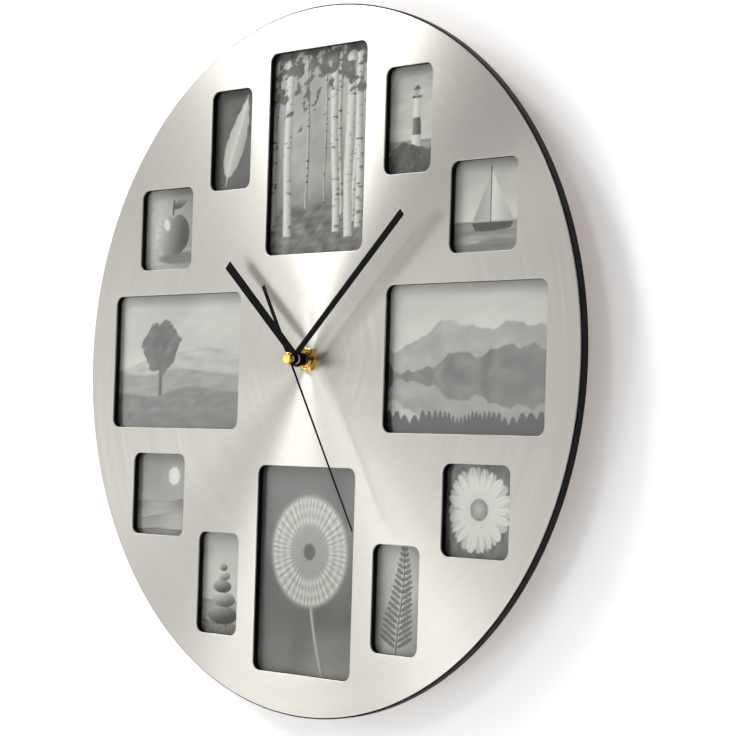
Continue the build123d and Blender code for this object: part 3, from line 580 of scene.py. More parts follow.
def mist(x, y, seed, size, octaves=4):
    """Soft cloudy noise from about -1 to 1, summed from waves in fixed random directions."""
    random = np.random.default_rng(seed)
    total = np.zeros_like(x)
    for octave in range(octaves):
        for _ in range(5):
            way, start = random.uniform(0, 2 * pi, 2)
            pace = 2 ** octave / size * random.uniform(0.7, 1.4)
            across = x * np.cos(way) + y * np.sin(way)
            total += 0.55 ** octave * np.sin(pace * across + start + 1.3 * np.sin(pace * 0.6 * (y - x) + way))
    return total / 5


def ridge(x, seed, size, octaves=6):
    """The outline of hills, from about -1 to 1."""
    starts = np.random.default_rng(seed).uniform(0, 2 * pi, octaves)
    return sum(0.5 ** k * np.sin(2 ** k * 1.1 * x / size + starts[k]) for k in range(octaves)) / 1.4


def painted(tone, *layers):
    """Lays each (inside, shade, softness) over the tone where inside is above zero, its edge that soft."""
    for inside, shade, soft in layers:
        share = unit(inside / soft + 0.5)
        share = share * share * (3 - 2 * share)
        tone = tone * (1 - share) + shade * share
    return tone


def oval(x, y, centre, wide, tall, turn=0.0):
    """Above zero inside an oval: 1 at its middle, 0 on its edge."""
    dx, dy = x - centre[0], y - centre[1]
    c, s = cos(turn), sin(turn)
    return 1 - np.hypot((dx * c + dy * s) / wide, (dy * c - dx * s) / tall)


def ripples(x, y, seed):
    """Water seen at a low angle: fine near the horizon, broader towards the reader."""
    swell = np.sin(26 * y + 2.2 * mist(x * 0.6, y * 3, seed, 0.3, 3))
    return swell * 0.5 + mist(x * 0.5, y * 6, seed + 1, 0.25, 3)


# %% Landscapes
def lake_and_mountains(x, y):
    """Two ranges over a still lake, and their reflection."""
    shore = -0.22
    up = shore + np.abs(y - shore)
    wobble = np.where(y < shore, 0.02 * ripples(x, y, 4), 0)
    tone = painted(
        0.86 - 0.1 * up + 0.09 * mist(x, up * 2.2, 5, 0.7),
        (0.30 + 0.26 * ridge(x + wobble, 11, 0.8) - up, 0.60 + 0.08 * mist(x, up, 2, 0.12), 0.03),
        (0.02 + 0.2 * ridge(x + wobble, 29, 0.5) - up, 0.34 + 0.1 * mist(x, up, 3, 0.08), 0.02))
    tone = np.where(y < shore, 0.10 + 0.74 * tone + 0.03 * ripples(x, y, 9), tone)
    reeds = -0.78 + 0.05 * ridge(x, 31, 0.15) + 0.1 * np.abs(np.sin(34 * x + 5 * np.sin(3 * x)))
    return painted(tone, (reeds - y, 0.12, 0.03))


def hills_and_tree(x, y):
    """Soft hills, one behind the other, and a lone round tree behind the nearest."""
    far, mid, near = (
        (level + 0.16 * ridge(x, seed, 1.0, 3) - y, shade + 0.07 * mist(x, y * 3, seed, 0.1), 0.02)
        for level, seed, shade in ((0.05, 3, 0.66), (-0.22, 8, 0.5), (-0.5, 12, 0.34)))
    crown = oval(x, y, (-0.45, 0.22), 0.42, 0.36) + 0.22 * mist(x, y, 41, 0.06, 4)
    return painted(
        0.82 + 0.12 * mist(x, y * 2, 15, 0.6) - 0.12 * y, far, mid,
        (every(band(x, -0.45, 0.035), y + 0.75, 0.1 - y), 0.14, 0.02),
        (crown, 0.2 + 0.12 * mist(x + 0.03, y - 0.03, 41, 0.06, 4), 0.06), near)


def birch_wood(x, y):
    """Pale trunks against mist, on a dark forest floor."""
    random = np.random.default_rng(6)
    tone = painted(
        0.62 + 0.15 * mist(x, y, 2, 0.35) + 0.1 * y,
        (-0.75 + 0.06 * ridge(x, 8, 0.4) - y, 0.36 + 0.14 * mist(x, y * 2, 3, 0.07), 0.1))
    trunks = 13
    for number in range(trunks):
        near = number / (trunks - 1)
        at, lean = random.uniform(-1.05, 1.05), random.uniform(-0.05, 0.05)
        wide, foot = 0.02 + 0.06 * near, -0.72 - 0.45 * near
        off = x - at - lean * y - 0.015 * np.sin(3 * y + number)
        scars = unit(mist(x * 0.7, y * 4, 50 + number, 0.05, 3) - 0.35) * 1.1
        bark = (0.58 + 0.3 * near) - 0.3 * np.clip(off / wide, -1, 1) - scars
        tone = painted(tone, (every(wide - np.abs(off), y - foot), np.clip(bark, 0.08, 1), 0.012))
    leaves = mist(x, y, 71, 0.06, 4) + (y - 1.05) * 1.1
    return painted(tone, (leaves, 0.3 + 0.1 * mist(x, y, 72, 0.05), 0.25))


def moon_and_dunes(x, y):
    """A pale moon over dunes, each with a bright and a dark flank."""
    away = np.hypot(x - 0.35, y - 0.42)
    sky = 0.42 + 0.14 * (0.6 - y) + 0.04 * mist(x, y * 2, 7, 0.8)
    tone = painted(sky + 0.22 * np.exp(-away * 3.2), (0.2 - away, 0.9 + 0.06 * mist(x, y, 19, 0.05), 0.02))
    for level, seed, lit in ((-0.1, 4, 0.7), (-0.42, 9, 0.78), (-0.72, 14, 0.6)):
        line = level + 0.16 * ridge(x, seed, 0.75, 2)
        side = unit(0.5 + 2.2 * np.gradient(line, axis=1) / 0.02)
        flank = 0.42 * side * (1 - 0.6 * unit((line - y) * 2.5))
        tone = painted(tone, (line - y, lit - flank + 0.02 * np.sin(70 * (y - line)), 0.015))
    return tone


def lighthouse(x, y):
    """A banded tower on a headland above the sea."""
    at = 0.1
    off = np.abs(x - at)
    stripes = np.where(np.sin(6.2 * (y + 0.42)) > 0.15, 0.3, 0.88)
    rock = -0.68 + 0.16 * ridge(x, 33, 0.5) - 0.35 * unit(-x - 0.1)
    return painted(
        0.8 - 0.08 * y + 0.1 * mist(x, y * 2.5, 23, 0.5),
        (-0.55 - y, 0.5 + 0.07 * ripples(x, y, 25), 0.02),
        (every(0.17 - 0.05 * (y + 0.5) - off, y + 0.75, 0.62 - y),
         stripes - 0.22 * np.clip((x - at) / 0.15, -1, 1), 0.012),
        (every(0.17 - off, band(y, 0.63, 0.03)), 0.16, 0.015),
        (every(0.08 - off, y - 0.64, 0.84 - y), 0.62, 0.015),
        (every(0.13 - (y - 0.84) * 1.1 - off, y - 0.83), 0.18, 0.015),
        (rock - y, 0.24 + 0.1 * mist(x, y, 35, 0.07, 4), 0.02))


def sailing_boat(x, y):
    """A small boat, its two sails against the light."""
    sea = painted(
        0.84 - 0.12 * y + 0.08 * mist(x, y * 2, 43, 0.5),
        (-0.3 - y, 0.52 + 0.09 * ripples(x, y, 45), 0.012))
    glitter = np.exp(-((x + 0.35) / 0.3) ** 2) * unit(-0.3 - y)
    keel = y + 0.5 - 0.12 * (x + 0.05) ** 2
    return painted(
        sea + 0.5 * glitter * unit(ripples(x, y, 47)),
        (every(x - 0.06, y + 0.3, 0.72 - y - 1.7 * (x - 0.06)), 0.95 - 0.5 * unit(x - 0.06), 0.02),
        (every(0.02 - x, y + 0.28, 0.62 - y + 2.0 * (x - 0.02)), 0.72 + 0.3 * x, 0.02),
        (every(band(x, 0.04, 0.012), y + 0.35, 0.8 - y), 0.1, 0.01),
        (every(keel, -0.33 - y, band(x, 0.1, 0.52) + 0.6 * (y + 0.4)), 0.15, 0.015))


# %% Plants and simple things
def daisy(x, y):
    """One daisy from above, on dark grass."""
    tone = 0.3 + 0.12 * mist(x * 2, y, 51, 0.12, 4)
    r, way = np.hypot(x + 0.05, y - 0.03), np.arctan2(y - 0.03, x + 0.05)
    for turn, shade in ((0.15, 0.74), (0.0, 0.9)):
        petal = np.abs(np.cos(8.5 * (way + turn + 0.08 * np.sin(5 * way)))) ** 0.45
        long = 0.30 + 0.56 * petal * (1 + 0.06 * np.sin(3 * way + 1))
        rib = 0.05 * np.sin(51 * (way + turn)) - 0.25 * unit(0.45 - r)
        tone = painted(tone, (long - r, shade + rib, 0.03))
    dome = oval(x, y, (-0.05, 0.03), 0.24, 0.22)
    seeds = 0.09 * np.sin(62 * r + 3 * np.sin(13 * way)) * np.sin(21 * way)
    return painted(tone, (dome, 0.42 + 0.25 * unit(dome) + seeds - 0.12 * x, 0.08))


def dandelion(x, y):
    """A dandelion's seed head, out of a dim meadow."""
    at = 0.25
    r, way = np.hypot(x, y - at), np.arctan2(y - at, x)
    bend = 0.12 * (at - y) ** 2
    stem_light = 0.62 + 0.25 * np.clip((bend - x) / 0.03, -1, 1)
    tone = painted(
        0.36 + 0.13 * mist(x, y, 61, 0.5, 3) - 0.08 * y,
        (every(0.028 - np.abs(x - bend), at - y), stem_light, 0.02),
        (0.74 - r, 0.64 - 0.1 * r, 0.12))
    spokes = np.abs(np.sin(23 * way + 1.5 * np.sin(4 * way))) ** 3
    tone = tone + np.where(r < 0.7, 0.22 * (1 - spokes) * unit(r * 2) - 0.1, 0)
    for ring, count in ((0.42, 19), (0.56, 27), (0.68, 35)):
        tuft = np.abs(np.sin(count * way + ring * 40)) ** 0.5 * np.exp(-((r - ring) / 0.05) ** 2)
        tone = tone + 0.24 * tuft
    return np.clip(painted(tone, (0.11 - r, 0.24 + 0.1 * np.sin(60 * r) * np.sin(17 * way), 0.03)), 0, 0.97)


def fern(x, y):
    """A fern frond rising to its tip."""
    tone = 0.74 + 0.1 * mist(x, y, 81, 0.5, 3) - 0.16 * np.abs(x)
    for pair in range(17):
        foot = -1.35 + 0.165 * pair
        long = 0.66 * (1 - pair / 17.5) ** 0.8 + 0.05
        notch = 0.35 * np.abs(np.sin(30 * x + pair))
        for side in (-1, 1):
            centre = (0.12 * np.sin(1.3 * foot + 0.4) + side * long * 0.46, foot + 0.06 + long * 0.22)
            leaf = oval(x, y, centre, long * 0.52, 0.062, side * 0.5)
            tone = painted(tone, (leaf - notch * 0.5, 0.26 + 0.16 * unit(leaf) + 0.02 * (pair % 3), 0.12))
    sway = 0.12 * np.sin(1.3 * y + 0.4)
    return painted(tone, (every(0.018 - np.abs(x - sway), 1.42 - y), 0.2, 0.015))


def stacked_pebbles(x, y):
    """Five smooth stones, one on another, by calm water."""
    tone = painted(
        0.8 - 0.1 * y + 0.06 * mist(x, y * 3, 91, 0.6),
        (-0.5 - y, 0.6 + 0.07 * ripples(x, y, 93), 0.03),
        (-1.15 + 0.06 * ridge(x, 95, 0.6) - y, 0.42 + 0.12 * mist(x, y, 96, 0.05, 4), 0.04))
    height = -1.2
    for wide, tall, shade, off in ((0.66, 0.27, 0.3, 0.0), (0.5, 0.22, 0.5, 0.05), (0.4, 0.19, 0.36, -0.04),
                                   (0.28, 0.15, 0.62, 0.03), (0.17, 0.12, 0.42, 0.0)):
        height += tall
        speckle = 0.04 * mist(x, y, int(wide * 100), 0.05)
        light = 0.3 * (y - height) / tall - 0.22 * (x - off) / wide + speckle
        tone = painted(tone, (oval(x, y, (off, height), wide, tall), shade + light, 0.05))
        height += tall * 0.86
    return tone


def apple(x, y):
    """An apple on a table by a window's light."""
    r, way = np.hypot(x, (y + 0.1) * 1.04), np.arctan2(y + 0.1, x)
    cloth = 0.7 - 0.2 * unit(x) + 0.03 * np.sin(40 * y + 3 * mist(x, y, 3, 0.5))
    edge = 0.56 + 0.05 * np.cos(2 * way) - 0.13 * np.exp(-((way - pi / 2) / 0.3) ** 2)
    streaks = 0.05 * np.sin(24 * way + 2 * np.sin(3 * way)) * unit(r * 1.6)
    skin_tone = np.clip(0.42 - 0.42 * x / 0.6 + 0.2 * (y + 0.1) + streaks, 0.1, 0.9)
    stalk = 0.025 - np.abs(x - 0.02 - 0.2 * (y - 0.4) ** 2)
    return painted(
        0.62 - 0.16 * x + 0.05 * mist(x, y, 101, 0.6),
        (-0.42 - y, cloth, 0.03),
        (oval(x, y, (0.28, -0.66), 0.72, 0.14), 0.34, 0.5),
        (edge - r, skin_tone, 0.02),
        (oval(x, y, (-0.2, 0.12), 0.1, 0.14, 0.4), 0.97, 0.7),
        (every(stalk, y - 0.33, 0.68 - y), 0.12, 0.02),
        (oval(x, y, (0.26, 0.6), 0.27, 0.1, 0.35), 0.34 + 0.2 * (y - 0.6) / 0.1, 0.08))


def feather(x, y):
    """A pale feather laid on dark cloth."""
    turn = 0.28
    across = x * cos(turn) - y * sin(turn) - 0.08 * np.sin(1.6 * y)
    along = y * cos(turn) + x * sin(turn)
    share = np.clip((along + 1.15) / 2.45, 0.001, 0.999)
    wide = 0.42 * np.sin(pi * share ** 0.75) ** 0.75
    gaps = 0.05 * unit(mist(along, along, 113, 0.05, 2) + 0.2)
    barbs = 0.10 * np.sin(95 * (along - 0.9 * np.abs(across)) + 2 * mist(x, y, 114, 0.2))
    vane_tone = 0.86 + barbs - 0.35 * np.abs(across) - 0.08 * (across > 0)
    return painted(
        0.3 + 0.06 * mist(x, y, 111, 0.3) + 0.03 * np.sin(55 * (x + y)) * np.sin(55 * (x - y)),
        (every(wide - gaps - np.abs(across), band(along, 0, 1.3)), vane_tone, 0.03),
        (every(band(across, 0, 0.016), band(along, 0, 1.4)), 0.95, 0.012))


subjects = {1: lighthouse, 2: sailing_boat, 3: lake_and_mountains, 4: daisy, 5: fern, 6: dandelion,
            7: stacked_pebbles, 8: moon_and_dunes, 9: hills_and_tree, 10: apple, 11: feather, 12: birch_wood}

# %% [markdown]
# A print is a thin sheet with a fine grid over its front, and each grid point gets its tone from the subject.
# The print runs on behind the lip of the window. Paper never lies quite flat on its pane, so a few hundredths
# of a millimetre of air are left on both sides.

# %% Prints and panes
tone_step = 0.55
air = 0.04
pane_corner, pane_edge = 0.3, 0.08


def photograph(hour):
    """One print, its picture painted point by point over the front."""
    node = f"photo_print_{hour:02d}"
    (x, z), (wide, tall), (back, front) = middle(node), half_size(node), depths(node)
    n, rows = (round(2 * half / tone_step) + 1 for half in (wide, tall))
    across, up = np.meshgrid(np.linspace(-wide, wide, n), np.linspace(-tall, tall, rows))
    tones = unit(subjects[hour](across / min(wide, tall), up / min(wide, tall)))
    form = Form()
    grid = form.ring([(x + a, z + u) for a, u in zip(across.ravel(), up.ravel())], front - air)
    form.add([(k, k + 1, k + n + 1, k + n) for row in range(rows - 1)
              for k in range(row * n, row * n + n - 1)])
    edge = grid[:n] + grid[2 * n - 1::n] + grid[-2:-n - 1:-1] + grid[-2 * n:0:-n]
    under = form.ring([(form.points[k][0] / MM, form.points[k][2] / MM) for k in edge], back + air)
    form.wall([edge, under])
    form.add([tuple(under)])
    piece = made_from(form, f"photograph_{hour:02d}", "clock", [node], "photo_paper")
    where = np.array([v.co[:] for v in piece.data.vertices])
    column, row = (
        np.clip(np.rint((where[:, axis] / MM - at + half) / (2 * half) * (count - 1)), 0, count - 1)
        for axis, at, half, count in ((0, x, wide, n), (2, z, tall, rows)))
    attribute = piece.data.attributes.new("tone", "FLOAT", "POINT")
    attribute.data.foreach_set("value", tones[row.astype(int), column.astype(int)].astype(np.float32))


def pane(hour):
    """One clear pane in front of its print."""
    node = f"window_pane_{hour:02d}"
    form = Form()
    outline = rounded_box(*middle(node), *half_size(node), pane_corner, 2)
    sheet(form, [outline], *depths(node), pane_edge, steps=2)
    made_from(form, f"clear_pane_{hour:02d}", "clock", [node], "clear_pane")


for hour in hours:
    photograph(hour)
    pane(hour)

# %% [markdown]
# ## The hands
# The hands are stamped from thin aluminium. A hand is a blade that widens or narrows a little from the hub,
# the round hub itself and a hole for the pipe. All their edges are rounded by tumbling before they are
# painted.

# %% Hands
hour_pipe, minute_pipe, second_pipe = 2.5, 1.55, 1.3


def hand(name, body, hub_radius, hole_radius, angle, arms):
    """One painted hand. Its arms, drawn at twelve, are (up or down, length, width at the hub, at the tip)."""
    points = []
    for number, (side, length, root, tip) in enumerate(arms):
        where = asin(root / 2 / hub_radius)
        foot = side * hub_radius * cos(where)
        points += [(root / 2 * side, foot), (tip / 2 * side, side * length), (-tip / 2 * side, side * length),
                   (-root / 2 * side, foot)]
        next_root = arms[(number + 1) % len(arms)][2]
        way_round = 2 * pi if len(arms) == 1 else pi
        start, end = pi / 2 * side + where, pi / 2 * side + way_round - asin(next_root / 2 / hub_radius)
        points += [polar(hub_radius, a) for a in np.linspace(start, end, 34)[1:-1]]
    form = Form()
    outlines = [clockwise(points, radians(angle)), circle(hole_radius, 48)]
    sheet(form, outlines, *depths(name), 0.12, back_finish=1)
    made_from(form, f"painted_{name}", body, [name], "hand_black", 32, bare_hand_back)


hand("hour_hand", "hour", 4.0, hour_pipe, 311.6, [(1, 72.4, 4.2, 4.8)])
hand("minute_hand", "minute", 3.2, minute_pipe, 46.9, [(1, 99.6, 3.2, 3.7)])
hand("second_hand", "second", 2.0, second_pipe, 149.8, [(1, 94.7, 1.2, 0.8), (-1, 41.7, 2.2, 2.2)])

# %% [markdown]
# ## The hub
# A brass nut draws the movement up against the dial. The bush it runs on is cut with a fine thread, 0.75 mm
# from crest to crest, which shows above the nut. The hands' collets are black, and a turned brass cap closes
# the stack.

# %% Nut
nut_back, nut_front = depths("fixing_nut")
across_flats = 11.0
bush_radius = 4.0
nut_steps = 120


def hexagon(limit):
    """A hexagon's outline, cut back to a circle where the corners would pass it."""
    points = []
    for i in range(nut_steps):
        a = 2 * pi * i / nut_steps
        off = (a + pi / 6) % (pi / 3) - pi / 6
        points.append(polar(min(across_flats / 2 / cos(off), limit), a + pi / 6))
    return points


form = Form()
thick = nut_front - nut_back
nut_rings = [form.ring(circle(bush_radius + gap, nut_steps), nut_back + up)
             for gap, up in ((0.01, 0.3), (0.3, 0))]
for share, limit in ((0.0, 5.35), (0.1, 5.85), (0.25, 6.3), (0.75, 6.3),
                     (0.85, 6.0), (0.94, 5.6), (1.0, 5.2)):
    nut_rings.append(form.ring(hexagon(limit), nut_back + share * thick))
nut_rings += [form.ring(circle(bush_radius + gap, nut_steps), nut_front - down)
              for gap, down in ((0.35, 0), (0.01, 0.35))]
form.wall(nut_rings, closed=True)
made_from(form, "brass_nut", "clock", ["fixing_nut"], "brass", 24)

# %% Threaded bush
bush_back, bush_front = depths("threaded_bush")
bush_steps = 72
thread_pitch, thread_depth, thread_fade = 0.75, 0.32, 0.25
bush_bore, flange_radius, flange_thick = 2.58, 5.0, 0.6


def thread_loop(depth):
    """The bush's outline at one depth: a screw thread, faded out at both ends."""
    fade = min(1.0, max(0.0, (bush_front - depth) / thread_fade), max(0.0, (depth - nut_back) / thread_fade))
    points = []
    for i in range(bush_steps):
        wave = abs(((depth / thread_pitch + i / bush_steps) % 1) * 2 - 1)
        r = bush_radius - thread_depth * (wave * fade + 0.35 * (1 - fade))
        points.append(polar(r, 2 * pi * i / bush_steps))
    return points


form = Form()
flange_front = bush_back + flange_thick
foot = ((bush_bore, bush_back), (flange_radius, bush_back), (flange_radius, flange_front),
        (bush_radius, flange_front))
head = ((bush_radius - 0.25, bush_front), (2.75, bush_front), (bush_bore, bush_front - 0.17))
bush_rings = [form.ring(circle(r, bush_steps), depth) for r, depth in foot]
bush_rings += [form.ring(thread_loop(depth), depth)
               for depth in np.arange(nut_back, bush_front - 0.001, thread_pitch / 8)]
bush_rings += [form.ring(circle(r, bush_steps), depth) for r, depth in head]
form.wall(bush_rings, closed=True)
made_from(form, "brass_bush", "clock", ["threaded_bush"], "brass", 40)

# %% Collets and cap
def collar(name, body, outer, inner):
    """A turned collet, its front edge rounded and a shallow groove round its middle."""
    back, front = depths(name)
    form = Form()
    groove = (back + front) / 2
    turned(form, [(inner, back), (outer - 0.15, back), (outer, back + 0.15), (outer, groove - 0.25),
                  (outer - 0.18, groove - 0.1), (outer - 0.18, groove + 0.1), (outer, groove + 0.25),
                  (outer, front - 0.2), (outer - 0.06, front - 0.06), (outer - 0.2, front), (inner, front)])
    made_from(form, f"{name}_turned", body, [name], "hand_black")


collar("hour_hand_collet", "hour", 3.2, hour_pipe)
collar("minute_hand_collet", "minute", 2.4, minute_pipe)

cap_back, cap_front = depths("second_hand_cap")
cap_radius, cap_round, pin_hole, pin_depth = 3.0, 0.5, 0.5, 1.0
seat = cap_front - 2.0
form = Form()
dome = [(cap_radius - cap_round * (1 - cos(a)), cap_front - cap_round * (1 - sin(a)))
        for a in np.linspace(0, pi / 2, 7)]
turned(form, [(pin_hole, cap_back), (second_pipe, cap_back), (second_pipe, seat), (cap_radius - 0.15, seat),
              (cap_radius, seat + 0.15), *dome, (0, cap_front), (0, cap_front - pin_depth),
              (pin_hole, cap_front - pin_depth)], 72)
made_from(form, "brass_second_cap", "second", ["second_hand_cap"], "brass", 40)

# %% [markdown]
# ## The back
# A hardboard disc closes the pockets. Six turn buttons on slotted screws hold it, and the movement stands in
# its opening.

# %% Rear panel
opening_corner, opening_margin = 6.0, 2
case_half = half_size("movement_case")
opening = rounded_box(*middle("movement_case"), case_half[0] + opening_margin, case_half[1] + opening_margin,
                      opening_corner, 8)
form = Form()
sheet(form, [circle(half_size("rear_panel")[1], 240), opening], *depths("rear_panel"), 0.15)
made_from(form, "hardboard_back", "clock", ["rear_panel"], "hardboard")

# %% Turn buttons
screw_head_radius = 2.5
button_ring = half_size("turn_button_screws")[1] - screw_head_radius
button_width, button_reach, button_corner, button_thick = 6.0, 13.0, 1.5, 0.8
screw_hole, button_hub = 1.38, 2.2
print("turn buttons on a ring of", round(button_ring, 3), "mm")


def button_outline(turn):
    """A turn button's outline: round at the screw, cut corners at its reach, turned to its place."""
    half = button_width / 2
    points = [polar(half, a) for a in np.linspace(0, pi, 17)]
    for side, start in ((-1, pi), (1, 1.5 * pi)):
        corner = (side * (half - button_corner), -button_reach + button_corner)
        points += [polar(button_corner, a, corner) for a in np.linspace(start, start + pi / 2, 6)]
    return clockwise([(x, z + button_ring) for x, z in points], turn)


for number in range(1, 7):
    node = f"turn_button_{number}"
    turn = radians(60 * (number - 1))
    pivot = (button_ring * sin(turn), button_ring * cos(turn))
    back, front = depths(node)
    hub_back = back + button_thick
    form = Form()
    sheet(form, [button_outline(turn), circle(screw_hole, 32, pivot)], back, hub_back, 0.15)
    turned(form, [(screw_hole, hub_back), (button_hub, hub_back), (button_hub, front - 0.1),
                  (button_hub - 0.1, front), (screw_hole, front)], 32, pivot)
    made_from(form, f"pressed_{node}", node, [node], "plated_steel")

# %% [markdown]
# The six screws are one screw set out six times, as on the real clock. A Geometry Nodes tree stands a copy on
# each of six points of a ring and turns each by a fixed random angle, since no two screws stop at the same
# slot position.

# %% Slotted screws
screw_back, screw_front = depths("turn_button_screws")


def slotted_screw():
    """One pan-head screw at the origin, its head to the back, its slot along x."""
    form = Form()
    head_front, head_round, shank_radius, point_length = screw_back + 1.3, 0.55, 1.3, 0.6
    crown = [(screw_head_radius * cos(a), screw_back + head_round * (1 - sin(a)))
             for a in np.linspace(pi / 2, 0, 7)][1:]
    turned(form, [(0, screw_back), *crown, (screw_head_radius, head_front), (shank_radius, head_front),
                  (shank_radius, screw_front - point_length), (0, screw_front)], 40, closed=False)
    screw = add_object("screw", mesh_from(form, "screw"))
    bpy.ops.mesh.primitive_cube_add(size=1, location=(0, -(screw_back + 0.1) * MM, 0))
    cutter = bpy.context.object
    cutter.scale = (8 * MM, 0.9 * MM, 0.6 * MM)
    cut = screw.modifiers.new("slot", "BOOLEAN")
    cut.operation, cut.object, cut.solver = "DIFFERENCE", cutter, "EXACT"
    screw.data = applied(screw)
    bpy.data.objects.remove(cutter)
    screw.modifiers.clear()
    return screw


def ring_of_copies(values):
    """Copies set round a ring in the dial's plane by Geometry Nodes, each turned about its own axis."""
    tree = bpy.data.node_groups.new("screws on a ring", "GeometryNodeTree")
    for name, kind in (("Count", "Int"), ("Ring Radius", "Float"), ("Seed", "Int"), ("Copied", "Object"),
                       ("Finish", "Material")):
        tree.interface.new_socket(name=name, in_out="INPUT", socket_type="NodeSocket" + kind)
    tree.interface.new_socket(name="Geometry", in_out="OUTPUT", socket_type="NodeSocketGeometry")
    add = adder(tree, "")
    given = tree.nodes.new("NodeGroupInput").outputs
    points = add("GeometryNodeMeshCircle", {"Vertices": given["Count"], "Radius": given["Ring Radius"]})
    upright = add("GeometryNodeTransform", {"Geometry": points, "Rotation": (pi / 2, 0, 0)})
    spin = add("FunctionNodeRandomValue", {0: (0, 0, 0), 1: (0, pi, 0), "Seed": given["Seed"]},
               data_type="FLOAT_VECTOR")
    source = add("GeometryNodeObjectInfo", {"Object": given["Copied"]}, "Geometry")
    stand = add("GeometryNodeInstanceOnPoints", {"Points": upright, "Rotation": spin, "Instance": source})
    real = add("GeometryNodeRealizeInstances", {0: stand})
    dressed = add("GeometryNodeSetMaterial", {"Geometry": real, "Material": given["Finish"]})
    plug(tree.nodes.new("NodeGroupOutput"), {0: dressed})
    holder = add_object("holder", bpy.data.meshes.new("holder"))
    modifier = holder.modifiers.new("ring", "NODES")
    modifier.node_group = tree
    for item in tree.interface.items_tree:
        if item.name in values:
            modifier[item.identifier] = values[item.name]
    copies = applied(holder)
    bpy.data.objects.remove(holder)
    return copies


screw = slotted_screw()
screws_mesh = ring_of_copies({"Count": 6, "Ring Radius": button_ring * MM, "Seed": 4, "Copied": screw,
                              "Finish": finishes["plated_steel"]})
bpy.data.objects.remove(screw)
screws_mesh.materials.clear()
screws_mesh.transform(Matrix.Rotation(radians(30), 4, "Y"))
place_piece(screws_mesh, "slotted_screws", "clock", ["turn_button_screws"], "plated_steel", 35)
print("screws", len(screws_mesh.polygons), "faces")

# %% [markdown]
# ## The movement
# No moulding or stamping has knife edges. Each of these pieces is the CAD shape with its edges eased by a
# tenth of a millimetre or so, which gives them a line of light.

# %% Eased copies
def eased(node, width, slot, name):
    """A copy of a CAD node's shape with its edges softened."""
    source = frame["nodes"][node]
    mesh = source.data.copy()
    mesh.name = name
    mesh.materials.clear()
    work = bmesh.new()
    work.from_mesh(mesh)
    bmesh.ops.remove_doubles(work, verts=work.verts, dist=2e-6)
    bmesh.ops.dissolve_limit(work, angle_limit=radians(0.8), verts=work.verts, edges=work.edges)
    sharp = [e for e in work.edges if len(e.link_faces) == 2 and e.calc_face_angle(0) > radians(28)]
    bmesh.ops.bevel(work, geom=sharp, offset=width * MM, segments=2, profile=0.5, affect="EDGES",
                    clamp_overlap=True)
    bmesh.ops.triangulate(work, faces=[f for f in work.faces if len(f.verts) > 4])
    written(work, mesh)
    place_piece(mesh, name, source["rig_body"], [node], slot, 30)


for node, width, slot, name in (
        ("movement_case", 0.3, "case_plastic", "moulded_case"),
        ("movement_cover", 0.15, "case_plastic", "moulded_cover"),
        ("set_knob", 0.12, "case_plastic", "moulded_set_knob"),
        ("middle_plate", 0.08, "plate_plastic", "moulded_middle_plate"),
        *((f"{wheel}_wheel", 0.04, "wheel_plastic", f"moulded_{wheel}_wheel")
          for wheel in ("second", "third", "minute", "motion", "hour", "intermediate")),
        ("rotor", 0.04, "rotor_plastic", "magnet_rotor"),
        ("stator", 0.05, "stator_iron", "iron_stator"),
        ("coil", 0.1, "coil_wire", "wound_coil"),
        ("circuit_board", 0.05, "circuit_laminate", "lacquered_circuit_board"),
        ("quartz_crystal", 0.08, "contact_steel", "crystal_can"),
        ("positive_contact", 0.05, "contact_steel", "plated_positive_contact"),
        ("negative_contact", 0.05, "contact_steel", "plated_negative_contact")):
    eased(node, width, slot, name)

# %% Battery
low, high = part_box("battery")
left, right = low.x / MM, high.x / MM
cell_radius, rim_radius, nub_radius = 7.1, 6.4, 2.75
form = Form()
turned(form, [(0, -right), (2.5, -right), (nub_radius, -right + 0.25), (nub_radius, -right + 1.2),
              (rim_radius, -right + 1.2), (rim_radius, -right + 1.6)], 72, closed=False, finish=1)
turned(form, [(rim_radius, -right + 1.6), (6.9, -right + 1.6), (cell_radius, -right + 1.85),
              (cell_radius, -left - 0.5), (6.9, -left - 0.15), (6.2, -left)], 72, closed=False)
turned(form, [(6.2, -left), (0, -left)], 72, closed=False, finish=1)
battery_mesh = mesh_from(form, "battery_cell")
lying = Matrix.Rotation(radians(-90), 4, "Z")
battery_mesh.transform(Matrix.Translation((0, (low.y + high.y) / 2, middle("battery")[1] * MM)) @ lying)
place_piece(battery_mesh, "battery_cell", "clock", ["battery"], "battery_wrap", 32, finishes["contact_steel"])

# %% [markdown]
# ## Studio
# The clock hangs on a white wall. Small softboxes stand on the left, at heights where the brushed face throws
# their light to the camera as a fan through the hub, and a weak wide one joins them. A low reflector and two
# front lamps lift the dark side of the face. The back lamp lights the movement when the clock is seen from
# behind, and the room's own light fills the rest.

